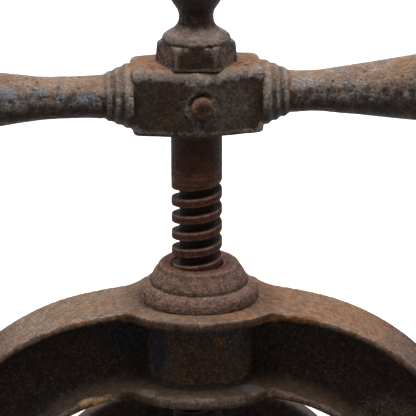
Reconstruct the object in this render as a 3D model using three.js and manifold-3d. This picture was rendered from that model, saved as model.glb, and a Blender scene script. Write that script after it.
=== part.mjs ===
// A bench-top screw press for fruit, in cast iron: a square-threaded screw with a cross handle runs down
// through the hub of an I-section arch and drives a ribbed plate into a slotted cylinder, which stands on
// the ribs of a tray with a pouring spout. Millimetres, +Z up, the tray's feet on z = 0, the spout to -Y.
import * as THREE from "three";
import { mergeVertices } from "three/addons/utils/BufferGeometryUtils.js";
import Module from "manifold-3d";

const wasm = await Module();
wasm.setup();

// ---------------------------------------------------------------------------------------------------
// Driving dimensions
// ---------------------------------------------------------------------------------------------------

const FIT = 0.3; // clearance between neighbouring pieces
const OVERSHOOT = 2; // how far a cutting tool runs past the face it opens
const ROUND_FACETS = 32; // facets round a turned piece
const SMALL_FACETS = 12; // facets round a fastener or a small hole

// Screw
const SCREW_RADIUS = 12;
const THREAD_PITCH = 8.3;
const THREAD_DEPTH = 3.8;
const THREAD_RIDGE = 4.1; // axial width of the ridge
const THREAD_FACETS = 20; // facets in one turn
const THREAD_PHASE = 2.1; // height above the boss at which the ridge faces +X
const THREAD_OUT = 42; // thread that stands out above the boss
const SHANK_LENGTH = 25.6; // plain shank between the thread and the handle
const SCREW_NECK_RADIUS = 7.1;
const SCREW_HEAD_RADIUS = 10.1;
const SCREW_HEAD_HEIGHT = 9.4;
const SCREW_JOURNAL_RADIUS = 10; // inside the handle block
const STUD_RADIUS = 7; // above the handle block, in the finial nut
const STUD_LENGTH = 12;
const TURNED_CHAMFER = 1.2; // of the screw's ends

// Cylinder and its floor
const CYLINDER_BORE = 57.5; // inner radius
const CYLINDER_DEPTH = 100;
const CYLINDER_WALL = 4;
const LIP_WIDTH = 6;
const LIP_HEIGHT = 7;
const LEDGE_WIDTH = 6; // inner ledge that carries the floor
const LEDGE_HEIGHT = 4.7;
const SLOT_WIDTH = 5;
const SLOT_COUNT = 18; // round the cylinder
const SLOT_ROWS = 2;
const SLOT_MARGIN = 9; // solid band between rows
const FLOOR_THICKNESS = 5;
const FLOOR_HOLE_RADIUS = 3;
const FLOOR_HOLE_SPACING = 14; // from ring to ring, and about the same along a ring
const FLOOR_HOLE_RINGS = 3;

// Plate
const PLATE_CLEARANCE = 1; // radial, in the cylinder
const PLATE_THICKNESS = 7;
const PLATE_HEIGHT = 48; // underside above the cylinder's floor, at rest
const PLATE_RIBS = 6;
const PLATE_RIB_WIDTH = 5;
const SOCKET_RADIUS = 22;
const SOCKET_HEIGHT = 17; // above the plate's underside
const COLLAR_THICKNESS = 4;
const COLLAR_SCREW_RADIUS = 2;
const COLLAR_SCREW_HEAD = 3.6; // radius of the countersunk head
const COLLAR_SCREW_LENGTH = 11;
const COLLAR_SCREW_ANGLE = 45; // degrees from the split
const PLATE_EDGE = 1.2; // chamfer
const PLATE_FILLET = 3; // at the foot of the socket

// Tray
const FOOT_HEIGHT = 24;
const FOOT_RADIUS = 9;
const FOOT_TAPER = 0.7; // radius at the ground over radius at the lug
const TRAY_FLOOR = 6;
const TRAY_WALL = 5;
const TRAY_DEPTH = 24;
const TRAY_MARGIN = 23.5; // between the cylinder's outside and the tray's wall
const TRAY_BEAD = 2.2; // rounded edge, proud of the wall
const RIB_LIFT = 8; // the cylinder's underside above the tray's floor
const RIB_WIDTH = 6;
const RIB_REACH = 9; // how far a rib runs past the cylinder
const RIB_STEP = 5; // height of the stop that centres the cylinder
const SPOUT_LENGTH = 40;
const SPOUT_WIDTH = 26; // clear width of the channel at the wall
const SPOUT_WALL = 4.5;
const SPOUT_NARROWING = 0.62; // width at the tip over width at the wall
const SPOUT_DROP = 9;
const LUG_THICKNESS = 10;
const LUG_MARGIN = 7; // lug round the frame's pad
const TRAY_FACETS = 40;

// Frame
const HEADROOM = 28; // from the cylinder's rim to the hub
const SECTION_HEIGHT = 43.3; // of the I-section at the crown
const LEG_DEPTH = 40.5; // of the I-section where the shoulder meets the leg
const SECTION_WIDTH = 37;
const FLANGE_EDGE = 3.6; // thickness at the flange's edge
const FLANGE_ROOT = 5; // and at the web
const WEB_THICKNESS = 7;
const WEB_FILLET = 5;
const INNER_CROWN_RADIUS = 208;
const INNER_SHOULDER_RADIUS = 75;
const OUTER_CROWN_RADIUS = 240;
const OUTER_SHOULDER_RADIUS = 110;
const LEG_MARGIN = 7.5; // between the tray's wall and a leg
const LEG_LEAN = 6; // degrees that the outer edge of a leg leans in
const CROWN_STEPS = 3; // facets on each half of the crown
const SHOULDER_STEPS = 11;
const HUB_FLANGE_RADIUS = 37.5;
const HUB_FLANGE_FILLET = 8;
const HUB_BARREL_RADIUS = 25;
const BOSS_HEIGHT = 16.7;
const BOSS_CAP_RADIUS = 18.4; // flat top round the hole
const BOSS_UPPER_RADIUS = 23.2; // upper moulding, at its foot
const BOSS_UPPER_HEIGHT = 8.7;
const BOSS_LOWER_RADIUS = 28.4; // lower moulding
const BOSS_GROOVE = 0.5; // under each moulding
const BORE_OFFSET = 1.2; // of the cast arch from the screw's axis
const MOUTH_RELIEF = 0.8; // how much wider the tapped hole is at its mouth
const MOUTH_DEPTH = 9;
const PAD_THICKNESS = 8;
const PAD_LENGTH = 80;
const PAD_WIDTH = 46;
const PAD_CORNER = 9;
const PAD_SETBACK = 3; // the pad's inner edge from the leg's inner face, towards the tray
const BOLT_SPACING = 56; // between a leg's two bolts

// Bolts
const BOLT_RADIUS = 4;
const BOLT_HEAD_RADIUS = 7.5; // across corners, halved
const BOLT_HEAD_HEIGHT = 5.3;
const NUT_HEIGHT = 6.5;
const WASHER_RADIUS = 8.6;
const WASHER_THICKNESS = 1.6;
const BOLT_PROTRUSION = 2;

// Handle
const HANDLE_TURN = 5; // degrees that the handle stands round from square to the arch
const BLOCK_LENGTH = 60.6;
const BLOCK_HEIGHT = 31.8;
const BLOCK_END_DEPTH = 26;
const BLOCK_RIDGE_DEPTH = 39;
const BLOCK_EDGE = 2.6; // rounded edge
const COLLAR_STEPS = 3;
const COLLAR_OUTER_RADIUS = 15;
const COLLAR_STEP_DROP = 1.6;
const COLLAR_STEP_LENGTH = 4.1;
const ARM_NECK_RADIUS = 9.6;
const ARM_REACH = 156; // from the screw's axis to an arm's end
const ARM_TIP_LENGTH = 11; // the rounded end
const ARM_TIP_SHARE = 0.96; // radius where the end begins, over the swell
const ARM_SWELL_LEFT = 15;
const ARM_SWELL_RIGHT = 16.6;
const PIN_RADIUS = 4;
const PIN_HEAD_RADIUS = 6;
const PIN_HEAD_HEIGHT = 3;

// Finial nut
const HEX_RADIUS_BOTTOM = 19.3;
const HEX_RADIUS_TOP = 18.4;
const HEX_HEIGHT = 9.9;
const BELL_RADIUS = 15.7;
const BELL_HEIGHT = 10.1; // from the hexagon to the neck
const FINIAL_NECK_RADIUS = 7.8;
const BALL_FOOT = 18.6; // height above the hexagon at which the neck's flare meets the ball
const BALL_FOOT_RADIUS = 11;
const BALL_RADIUS = 13.6;
const BALL_STEPS = 7; // facets from the flare to the pole

// ---------------------------------------------------------------------------------------------------
// Heights and radii that follow from them
// ---------------------------------------------------------------------------------------------------

const trayFloorTop = FOOT_HEIGHT + TRAY_FLOOR;
const cylinderBottom = trayFloorTop + RIB_LIFT + FIT;
const floorBottom = cylinderBottom + LEDGE_HEIGHT + FIT;
const floorTop = floorBottom + FLOOR_THICKNESS;
const cylinderTop = floorTop + CYLINDER_DEPTH;
const plateBottom = floorTop + PLATE_HEIGHT;
const socketTop = plateBottom + SOCKET_HEIGHT;
const collarTop = socketTop + FIT + COLLAR_THICKNESS;
const hubBottom = cylinderTop + HEADROOM;
const crownTop = hubBottom + SECTION_HEIGHT;
const bossTop = crownTop + BOSS_HEIGHT;
const shankBottom = bossTop + THREAD_OUT;
const blockBottom = shankBottom + SHANK_LENGTH;
const blockTop = blockBottom + BLOCK_HEIGHT;
const blockMiddle = (blockBottom + blockTop) / 2;

const cylinderRadius = CYLINDER_BORE + LIP_WIDTH;
const trayBore = cylinderRadius + TRAY_MARGIN;
const trayRadius = trayBore + TRAY_WALL;
const legInner = trayRadius + LEG_MARGIN;
const legOuter = legInner + LEG_DEPTH;
const padInner = legInner - PAD_SETBACK;
const padMiddle = padInner + PAD_WIDTH / 2;
const lugTop = FOOT_HEIGHT + LUG_THICKNESS;
const padBottom = lugTop + FIT;
const padTop = padBottom + PAD_THICKNESS;

// ---------------------------------------------------------------------------------------------------
// Shape helpers
// ---------------------------------------------------------------------------------------------------

/** A closed three.js geometry as a solid for joining and cutting. */
function solid(geometry) {
  const bare = geometry.index ? geometry.toNonIndexed() : geometry.clone();
  bare.deleteAttribute("normal");
  bare.deleteAttribute("uv");
  const merged = mergeVertices(bare, 1e-4);
  const corners = merged.index.array;
  const triangles = [];
  for (let i = 0; i < corners.length; i += 3) {
    const [a, b, c] = [corners[i], corners[i + 1], corners[i + 2]];
    if (a !== b && b !== c && c !== a) triangles.push(a, b, c);
  }
  const vertProperties = new Float32Array(merged.attributes.position.array);
  return new wasm.Manifold(new wasm.Mesh({ numProp: 3, vertProperties, triVerts: new Uint32Array(triangles) }));
}

/** The geometry of a finished solid. */
function geometryOf(shape) {
  const mesh = shape.getMesh();
  const geometry = new THREE.BufferGeometry();
  geometry.setAttribute("position", new THREE.BufferAttribute(mesh.vertProperties, 3));
  geometry.setIndex(new THREE.BufferAttribute(mesh.triVerts, 1));
  geometry.computeVertexNormals();
  return geometry;
}

const joined = (...shapes) => shapes.reduce((whole, shape) => whole.add(shape));
const cut = (shape, ...tools) => tools.reduce((rest, tool) => rest.subtract(tool), shape);

/** A solid of revolution about Z from [radius, height] points that begin and end on the axis. */
function turned(points, facets = ROUND_FACETS) {
  const outline = points.map(([radius, height]) => new THREE.Vector2(radius, height));
  return solid(new THREE.LatheGeometry(outline, facets).rotateX(Math.PI / 2));
}

/** An upright round bar, or a cone frustum, between two heights. */
function bar(radius, bottom, top, facets = ROUND_FACETS, topRadius = radius) {
  return turned([[0, bottom], [radius, bottom], [topRadius, top], [0, top]], facets);
}

/** A plan outline in X and Y, raised between two heights. */
function raised(shape, bottom, top, curveSegments = 12) {
  const options = { depth: top - bottom, bevelEnabled: false, curveSegments };
  return solid(new THREE.ExtrudeGeometry(shape, options).translate(0, 0, bottom));
}

/** A front outline in X and Z, given depth evenly to both sides of the plane y = 0. */
function thickened(shape, depth, curveSegments = 12) {
  const options = { depth, bevelEnabled: false, curveSegments };
  return solid(new THREE.ExtrudeGeometry(shape, options).rotateX(Math.PI / 2).translate(0, depth / 2, 0));
}

/** Points of a quarter round from [r0, z0] to [r1, z1]; it leaves along the axis if `upright`. */
function quarterRound([r0, z0], [r1, z1], upright = true, steps = 3) {
  const points = [];
  for (let i = 0; i <= steps; i += 1) {
    const angle = (i / steps) * (Math.PI / 2);
    const [along, across] = upright ? [1 - Math.cos(angle), Math.sin(angle)] : [Math.sin(angle), 1 - Math.cos(angle)];
    points.push([r0 + (r1 - r0) * along, z0 + (z1 - z0) * across]);
  }
  return points;
}

/** Runs a path straight to the start of an arc and then along it. */
function lineAndArc(path, x, y, radius, from, to, clockwise) {
  path.lineTo(x + radius * Math.cos(from), y + radius * Math.sin(from));
  path.absarc(x, y, radius, from, to, clockwise);
}

/** A rectangle with rounded corners, centred on a point. */
function roundedRectangle(width, height, corner, x = 0, y = 0) {
  const [right, top] = [width / 2 - corner, height / 2 - corner];
  const shape = new THREE.Shape();
  shape.absarc(x + right, y + top, corner, 0, Math.PI / 2, false);
  shape.absarc(x - right, y + top, corner, Math.PI / 2, Math.PI, false);
  shape.absarc(x - right, y - top, corner, Math.PI, 1.5 * Math.PI, false);
  shape.absarc(x + right, y - top, corner, 1.5 * Math.PI, 2 * Math.PI, false);
  return shape;
}

// ---------------------------------------------------------------------------------------------------
// Square thread
// ---------------------------------------------------------------------------------------------------

/**
 * A bar with the right-hand square thread on it, between two heights. Every facet step adds one section of
 * the ridge: foot, crest, crest, foot. Its upper foot meets the lower foot of the section one turn later, so
 * the root closes between the turns, and a fan closes each end. The screw and the tap share the helix, and
 * `grow` alone makes the clearance between them.
 */
function threadedBar(bottom, top, grow) {
  const core = SCREW_RADIUS - THREAD_DEPTH + grow;
  const crest = SCREW_RADIUS + grow;
  const half = THREAD_RIDGE / 2 + grow;
  const rise = THREAD_PITCH / THREAD_FACETS;
  const start = bossTop + THREAD_PHASE;
  const first = Math.floor((bottom - start - THREAD_PITCH - half) / rise);
  const last = Math.ceil((top - start + THREAD_PITCH + half) / rise) - first;
  const positions = [];
  for (let step = 0; step <= last; step += 1) {
    const angle = ((first + step) / THREAD_FACETS) * 2 * Math.PI;
    const middle = start + (first + step) * rise;
    for (const [radius, height] of [[core, -half], [crest, -half], [crest, half], [core, half]]) {
      positions.push(radius * Math.cos(angle), radius * Math.sin(angle), middle + height);
    }
  }
  const triangles = [];
  const corner = (step, place) => 4 * step + place;
  const quad = (a, b, c, d) => triangles.push(a, b, c, a, c, d);
  for (let step = 0; step < last; step += 1) {
    for (let place = 0; place < 3; place += 1) {
      quad(corner(step, place), corner(step + 1, place), corner(step + 1, place + 1), corner(step, place + 1));
    }
    const nextTurn = step + THREAD_FACETS;
    if (nextTurn < last) quad(corner(step, 3), corner(step + 1, 3), corner(nextTurn + 1, 0), corner(nextTurn, 0));
  }
  const turn = Array.from({ length: THREAD_FACETS + 1 }, (_, facet) => facet);
  const lowerRim = [...turn.map((facet) => corner(facet, 0)), corner(0, 3)];
  const upperRim = [...turn.map((facet) => corner(last - THREAD_FACETS + facet, 3)), corner(last, 0)];
  const closeEnd = (rim, height) => {
    const centre = positions.length / 3;
    positions.push(0, 0, height);
    rim.forEach((vertex, i) => triangles.push(centre, vertex, rim[(i + 1) % rim.length]));
  };
  closeEnd(lowerRim.reverse(), start + first * rise);
  closeEnd(upperRim, start + (first + last) * rise);
  quad(corner(0, 0), corner(0, 1), corner(0, 2), corner(0, 3));
  quad(corner(last, 3), corner(last, 2), corner(last, 1), corner(last, 0));
  const geometry = new THREE.BufferGeometry();
  geometry.setAttribute("position", new THREE.Float32BufferAttribute(positions, 3));
  geometry.setIndex(triangles);
  return solid(geometry).intersect(bar(crest + OVERSHOOT, bottom, top));
}

/** The tool that taps the hub and relieves the tapped hole's mouth. */
function tap() {
  const thread = threadedBar(hubBottom - OVERSHOOT, bossTop + OVERSHOOT, FIT);
  const relief = bar(SCREW_RADIUS + FIT + MOUTH_RELIEF, bossTop - MOUTH_DEPTH, bossTop + OVERSHOOT);
  return thread.add(relief);
}

const screwHeadBottom = socketTop - SCREW_HEAD_HEIGHT - FIT;
const screwNeckTop = collarTop + FIT;

function pressScrew() {
  const neckBottom = screwHeadBottom + SCREW_HEAD_HEIGHT;
  const studTop = blockTop + STUD_LENGTH;
  const swivel = turned([
    [0, screwHeadBottom],
    [SCREW_HEAD_RADIUS - TURNED_CHAMFER, screwHeadBottom],
    [SCREW_HEAD_RADIUS, screwHeadBottom + TURNED_CHAMFER],
    [SCREW_HEAD_RADIUS, neckBottom],
    [SCREW_NECK_RADIUS, neckBottom],
    [SCREW_NECK_RADIUS, screwNeckTop + OVERSHOOT],
    [0, screwNeckTop + OVERSHOOT],
  ], THREAD_FACETS);
  const shank = turned([
    [0, shankBottom],
    [SCREW_RADIUS, shankBottom],
    [SCREW_RADIUS, blockBottom - FIT],
    [SCREW_JOURNAL_RADIUS, blockBottom - FIT],
    [SCREW_JOURNAL_RADIUS, blockTop - FIT],
    [STUD_RADIUS, blockTop - FIT],
    [STUD_RADIUS, studTop - TURNED_CHAMFER],
    [STUD_RADIUS - TURNED_CHAMFER, studTop],
    [0, studTop],
  ], THREAD_FACETS);
  const thread = threadedBar(screwNeckTop, shankBottom + OVERSHOOT, 0);
  return cut(joined(swivel, thread, shank), crossHole());
}

// ---------------------------------------------------------------------------------------------------
// Frame
// ---------------------------------------------------------------------------------------------------

/**
 * The right half of one of the arch's two outlines, in X and Z: a wide arc over the crown that runs into a
 * tighter one at the shoulder. Its points are given by their share of each arc, raised by an offset.
 */
function archOutline(top, crownRadius, reach, shoulderRadius, lean = 0) {
  const shoulderX = reach - shoulderRadius;
  const spread = Math.asin(shoulderX / (crownRadius - shoulderRadius));
  const shoulderZ = top - crownRadius + (crownRadius - shoulderRadius) * Math.cos(spread);
  const turn = Math.PI / 2 + lean - spread;
  const onArc = (x, z, radius, angle) => new THREE.Vector2(x + radius * Math.sin(angle), z + radius * Math.cos(angle));
  return {
    crown: (share, offset = 0) => onArc(0, top - crownRadius, crownRadius + offset, share * spread),
    shoulder: (share) => onArc(shoulderX, shoulderZ, shoulderRadius, spread + share * turn),
  };
}

const legLean = THREE.MathUtils.degToRad(LEG_LEAN);
const innerArch = archOutline(hubBottom, INNER_CROWN_RADIUS, legInner, INNER_SHOULDER_RADIUS);
const outerArch = archOutline(crownTop, OUTER_CROWN_RADIUS, legOuter, OUTER_SHOULDER_RADIUS, legLean);

/** The inner and the outer point of each section of the arch, in X and Z, from the left foot to the right. */
function archStations() {
  const right = [];
  for (let i = 0; i <= CROWN_STEPS; i += 1) {
    right.push([innerArch, outerArch].map((arch) => arch.crown(i / CROWN_STEPS)));
  }
  for (let i = 1; i <= SHOULDER_STEPS; i += 1) {
    right.push([innerArch, outerArch].map((arch) => arch.shoulder(i / SHOULDER_STEPS)));
  }
  const foot = padTop - PAD_THICKNESS / 2;
  const spring = right.at(-1)[1];
  const outerFoot = spring.x - (spring.y - foot) * Math.tan(legLean);
  right.push([new THREE.Vector2(legInner, foot), new THREE.Vector2(outerFoot, foot)]);
  const mirrored = ({ x, y }) => new THREE.Vector2(-x, y);
  const left = right.slice(1).map((station) => station.map(mirrored));
  return [...left.reverse(), ...right];
}

/** The arch: its I-section, with drafted flanges and filleted web, carried through every station. */
function archBeam() {
  const [half, web] = [SECTION_WIDTH / 2, WEB_THICKNESS / 2];
  const quarter = [
    [0, half],
    [FLANGE_EDGE, half],
    [FLANGE_ROOT, web + WEB_FILLET],
    [FLANGE_ROOT + WEB_FILLET, web],
  ];
  const farQuarter = quarter.map(([height, y]) => [SECTION_HEIGHT - height, y]).reverse();
  const side = [...quarter, ...farQuarter];
  const otherSide = side.map(([height, y]) => [height, -y]).reverse();
  const outline = new THREE.Shape([...side, ...otherSide].map(([height, y]) => new THREE.Vector2(height, y)));
  const stations = archStations();
  const steps = stations.length - 1;
  const beam = new THREE.ExtrudeGeometry(outline, { depth: steps, steps, bevelEnabled: false });
  const position = beam.attributes.position;
  for (let i = 0; i < position.count; i += 1) {
    const [inner, outer] = stations[Math.round(position.getZ(i))];
    const up = outer.clone().sub(inner).normalize();
    const height = position.getX(i);
    const near = height < SECTION_HEIGHT / 2;
    const point = near ? inner.clone().addScaledVector(up, height)
      : outer.clone().addScaledVector(up, height - SECTION_HEIGHT);
    position.setXYZ(i, point.x, -position.getY(i), point.y);
  }
  return solid(beam);
}

/** Plan of a hub flange: a disc that runs into the arch's straight flange with a fillet on each side. */
function hubFlangePlan() {
  const half = SECTION_WIDTH / 2;
  const inside = half - FLANGE_EDGE;
  const filletY = half + HUB_FLANGE_FILLET;
  const filletX = Math.sqrt((HUB_FLANGE_RADIUS + HUB_FLANGE_FILLET) ** 2 - filletY ** 2);
  const angle = Math.atan2(filletY, filletX);
  const quarter = Math.PI / 2;
  const shape = new THREE.Shape();
  shape.moveTo(-filletX, -inside);
  lineAndArc(shape, -filletX, -filletY, HUB_FLANGE_FILLET, quarter, angle, true);
  shape.absarc(0, 0, HUB_FLANGE_RADIUS, Math.PI + angle, 2 * Math.PI - angle, false);
  shape.absarc(filletX, -filletY, HUB_FLANGE_FILLET, Math.PI - angle, quarter, true);
  shape.lineTo(filletX, -inside);
  shape.lineTo(filletX, inside);
  lineAndArc(shape, filletX, filletY, HUB_FLANGE_FILLET, -quarter, angle - Math.PI, true);
  shape.absarc(0, 0, HUB_FLANGE_RADIUS, angle, Math.PI - angle, false);
  shape.absarc(-filletX, filletY, HUB_FLANGE_FILLET, -angle, -quarter, true);
  shape.lineTo(-filletX, inside);
  return shape;
}

/** A hub flange, which follows the crown of one of the arch's outlines between two offsets. */
function hubFlange(arch, lower, upper) {
  const shares = [];
  for (let i = -CROWN_STEPS; i <= CROWN_STEPS; i += 1) shares.push(i / CROWN_STEPS);
  const top = shares.map((share) => arch.crown(share, upper));
  const bottom = shares.map((share) => arch.crown(share, lower)).reverse();
  return thickened(new THREE.Shape([...top, ...bottom]), 2 * HUB_FLANGE_RADIUS + OVERSHOOT)
    .intersect(raised(hubFlangePlan(), hubBottom - SECTION_HEIGHT, bossTop, 6));
}

/** The boss: a flat cap and two rounded mouldings, each parted from what is under it by a groove. */
function boss() {
  const waist = bossTop - BOSS_UPPER_HEIGHT;
  const shoulder = (waist + crownTop) / 2;
  return turned([
    [0, crownTop - FLANGE_ROOT],
    [BOSS_LOWER_RADIUS - BOSS_GROOVE, crownTop - FLANGE_ROOT],
    [BOSS_LOWER_RADIUS - BOSS_GROOVE, crownTop],
    ...quarterRound([BOSS_LOWER_RADIUS, shoulder - BOSS_GROOVE], [BOSS_UPPER_RADIUS, waist - BOSS_GROOVE]),
    [BOSS_UPPER_RADIUS - BOSS_GROOVE, waist],
    ...quarterRound([BOSS_UPPER_RADIUS, waist + BOSS_GROOVE], [BOSS_CAP_RADIUS, bossTop], true, 4),
    [0, bossTop],
  ]);
}

function pressFrame() {
  const barrel = bar(HUB_BARREL_RADIUS, hubBottom + FLANGE_EDGE / 2, crownTop - FLANGE_EDGE);
  const [upper, lower] = [hubFlange(outerArch, -FLANGE_ROOT, 0), hubFlange(innerArch, 0, FLANGE_ROOT)];
  let frame = joined(archBeam(), upper, lower, barrel, boss()).translate([BORE_OFFSET, 0, 0]);
  for (const side of [-1, 1]) {
    const pad = roundedRectangle(PAD_WIDTH, PAD_LENGTH, PAD_CORNER, side * padMiddle, 0);
    frame = frame.add(raised(pad, padBottom, padTop, 4));
  }
  return cut(frame, tap(), ...boltPlaces().map(({ x, y }) => boltHole(x, y)));
}

// ---------------------------------------------------------------------------------------------------
// Frame fasteners
// ---------------------------------------------------------------------------------------------------

function boltPlaces() {
  const places = [];
  for (const [sideName, side] of [["left", -1], ["right", 1]]) {
    for (const [endName, end] of [["front", -1], ["rear", 1]]) {
      places.push({ name: `${sideName}_${endName}`, x: side * padMiddle, y: (end * BOLT_SPACING) / 2 });
    }
  }
  return places;
}

function boltHole(x, y) {
  return bar(BOLT_RADIUS + FIT, 0, padTop + OVERSHOOT, SMALL_FACETS).translate([x, y, 0]);
}

const washerBottom = padTop + FIT;
const boltHeadBottom = washerBottom + WASHER_THICKNESS + FIT;
const nutTop = FOOT_HEIGHT - FIT;
const boltEnd = nutTop - NUT_HEIGHT - BOLT_PROTRUSION;

/** A hexagonal bar whose top corners are turned off. */
function chamferedHexagon(radius, bottom, top) {
  const flat = radius * Math.cos(Math.PI / 6);
  const slope = radius - flat;
  const envelope = turned([[0, bottom], [radius, bottom], [radius, top - slope / 2], [flat, top], [0, top]], SMALL_FACETS);
  return bar(radius, bottom, top, 6).intersect(envelope);
}

function frameBolt() {
  const head = chamferedHexagon(BOLT_HEAD_RADIUS, boltHeadBottom, boltHeadBottom + BOLT_HEAD_HEIGHT);
  return head.add(bar(BOLT_RADIUS, boltEnd, boltHeadBottom + OVERSHOOT, SMALL_FACETS));
}

function frameWasher() {
  const disc = bar(WASHER_RADIUS, washerBottom, washerBottom + WASHER_THICKNESS, 16);
  return cut(disc, boltHole(0, 0).translate([0, 0, OVERSHOOT]));
}

function frameNut() {
  return cut(chamferedHexagon(BOLT_HEAD_RADIUS, nutTop - NUT_HEIGHT, nutTop), boltHole(0, 0));
}

// ---------------------------------------------------------------------------------------------------
// Tray
// ---------------------------------------------------------------------------------------------------

/**
 * A trough section that runs out to the front from inside the tray's wall, narrowing and dropping evenly
 * until it is `beyond` past the spout's tip.
 */
function spoutPrism(halfWidth, bottom, top, beyond) {
  const corner = 0.6 * halfWidth;
  const section = new THREE.Shape();
  section.moveTo(halfWidth, top);
  section.lineTo(-halfWidth, top);
  lineAndArc(section, corner - halfWidth, bottom + corner, corner, Math.PI, 1.5 * Math.PI, false);
  lineAndArc(section, halfWidth - corner, bottom + corner, corner, 1.5 * Math.PI, 2 * Math.PI, false);
  const start = trayBore - TRAY_WALL;
  const length = 2 * TRAY_WALL + SPOUT_LENGTH + beyond;
  const prism = new THREE.ExtrudeGeometry(section, { depth: length, bevelEnabled: false, curveSegments: 5 });
  const position = prism.attributes.position;
  for (let i = 0; i < position.count; i += 1) {
    const run = start + position.getZ(i);
    const share = (run - trayBore) / (TRAY_WALL + SPOUT_LENGTH);
    const width = position.getX(i) * (1 - (1 - SPOUT_NARROWING) * share);
    position.setXYZ(i, width, -run, position.getY(i) - SPOUT_DROP * share);
  }
  return solid(prism);
}

/** One of the ribs that the cylinder stands on, with a stop at its outer end that centres the cylinder. */
function trayRib(angle) {
  const seat = trayFloorTop + RIB_LIFT;
  const [inner, outer] = [CYLINDER_BORE - LEDGE_WIDTH - RIB_REACH, cylinderRadius + RIB_REACH];
  const stop = cylinderRadius + FIT;
  const profile = new THREE.Shape();
  profile.moveTo(inner, trayFloorTop - OVERSHOOT);
  profile.lineTo(outer, trayFloorTop - OVERSHOOT);
  profile.lineTo(outer, seat);
  profile.lineTo(stop + RIB_STEP / 2, seat + RIB_STEP);
  profile.lineTo(stop, seat + RIB_STEP);
  profile.lineTo(stop, seat);
  profile.lineTo(inner, seat);
  return thickened(profile, RIB_WIDTH).rotate([0, 0, angle]);
}

function juiceTray() {
  const rim = trayFloorTop + TRAY_DEPTH;
  const bead = trayRadius + TRAY_BEAD;
  const pan = turned([
    [0, FOOT_HEIGHT],
    ...quarterRound([trayRadius - TRAY_WALL, FOOT_HEIGHT], [trayRadius, FOOT_HEIGHT + TRAY_WALL], false),
    [trayRadius, rim - 2 * TRAY_BEAD],
    ...quarterRound([bead, rim - TRAY_BEAD], [bead - TRAY_BEAD, rim]),
    [0, rim],
  ], TRAY_FACETS);
  const bowl = turned([
    [0, trayFloorTop],
    ...quarterRound([trayBore - TRAY_WALL, trayFloorTop], [trayBore, trayFloorTop + TRAY_WALL], false),
    [trayBore, rim + OVERSHOOT],
    [0, rim + OVERSHOOT],
  ], TRAY_FACETS);
  let tray = pan.add(spoutPrism(SPOUT_WIDTH / 2 + SPOUT_WALL, FOOT_HEIGHT, rim - TRAY_BEAD, 0));
  const lugEnd = padInner + PAD_WIDTH + LUG_MARGIN;
  const lugHalf = PAD_LENGTH / 2 + LUG_MARGIN;
  const footInset = FOOT_RADIUS + LUG_MARGIN / 4;
  const lugStart = trayBore / 2;
  for (const side of [-1, 1]) {
    const middle = (side * (lugStart + lugEnd)) / 2;
    const lug = roundedRectangle(lugEnd - lugStart, 2 * lugHalf, PAD_CORNER + LUG_MARGIN, middle, 0);
    tray = tray.add(raised(lug, FOOT_HEIGHT, lugTop, 6));
    for (const end of [-1, 1]) {
      const foot = bar(FOOT_RADIUS * FOOT_TAPER, 0, FOOT_HEIGHT + OVERSHOOT, 20, FOOT_RADIUS);
      tray = tray.add(foot.translate([side * (lugEnd - footInset), end * (lugHalf - footInset), 0]));
    }
  }
  const channel = spoutPrism(SPOUT_WIDTH / 2, trayFloorTop, rim + OVERSHOOT, OVERSHOOT);
  tray = cut(tray, bowl, channel, ...boltPlaces().map(({ x, y }) => boltHole(x, y)));
  return joined(tray, ...[45, 135, 225, 315].map(trayRib));
}

// ---------------------------------------------------------------------------------------------------
// Cylinder and its loose floor
// ---------------------------------------------------------------------------------------------------

function strainerCylinder() {
  const edge = LIP_WIDTH / 3;
  const wall = CYLINDER_BORE + CYLINDER_WALL;
  const body = turned([
    [CYLINDER_BORE - LEDGE_WIDTH, cylinderBottom],
    [cylinderRadius, cylinderBottom],
    [cylinderRadius, cylinderBottom + LIP_HEIGHT],
    [wall, cylinderBottom + LIP_HEIGHT + edge],
    [wall, cylinderTop - LIP_HEIGHT - edge],
    [cylinderRadius, cylinderTop - LIP_HEIGHT],
    ...quarterRound([cylinderRadius, cylinderTop - edge], [cylinderRadius - edge, cylinderTop], true, 2),
    [CYLINDER_BORE + edge / 2, cylinderTop],
    [CYLINDER_BORE, cylinderTop - edge / 2],
    [CYLINDER_BORE, cylinderBottom + LEDGE_HEIGHT],
    [CYLINDER_BORE - LEDGE_WIDTH, cylinderBottom + LEDGE_HEIGHT],
    [CYLINDER_BORE - LEDGE_WIDTH, cylinderBottom],
  ], 2 * SLOT_COUNT);
  const slotted = cylinderTop - LIP_HEIGHT - floorTop;
  const slotLength = (slotted - (SLOT_ROWS + 1) * SLOT_MARGIN) / SLOT_ROWS;
  const slots = [];
  for (let row = 0; row < SLOT_ROWS; row += 1) {
    const middle = floorTop + (row + 1) * SLOT_MARGIN + (row + 0.5) * slotLength;
    const outline = roundedRectangle(SLOT_WIDTH, slotLength, SLOT_WIDTH / 2, 0, middle);
    const slot = thickened(outline, 2 * LIP_WIDTH, 1).translate([0, -wall, 0]);
    for (let i = 0; i < SLOT_COUNT; i += 1) slots.push(slot.rotate([0, 0, ((i + 0.25) * 360) / SLOT_COUNT]));
  }
  return cut(body, ...slots);
}

function strainerFloor() {
  const disc = bar(CYLINDER_BORE - FIT, floorBottom, floorTop, 2 * SLOT_COUNT);
  const hole = bar(FLOOR_HOLE_RADIUS, floorBottom - OVERSHOOT, floorTop + OVERSHOOT, 6);
  const holes = [hole];
  for (let ring = 1; ring <= FLOOR_HOLE_RINGS; ring += 1) {
    const count = 6 * ring;
    for (let i = 0; i < count; i += 1) {
      holes.push(hole.translate([ring * FLOOR_HOLE_SPACING, 0, 0]).rotate([0, 0, (i * 360) / count]));
    }
  }
  return cut(disc, ...holes);
}

// ---------------------------------------------------------------------------------------------------
// Plate and its swivel
// ---------------------------------------------------------------------------------------------------

const collarScrewCircle = (SCREW_HEAD_RADIUS + SOCKET_RADIUS) / 2;

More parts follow.
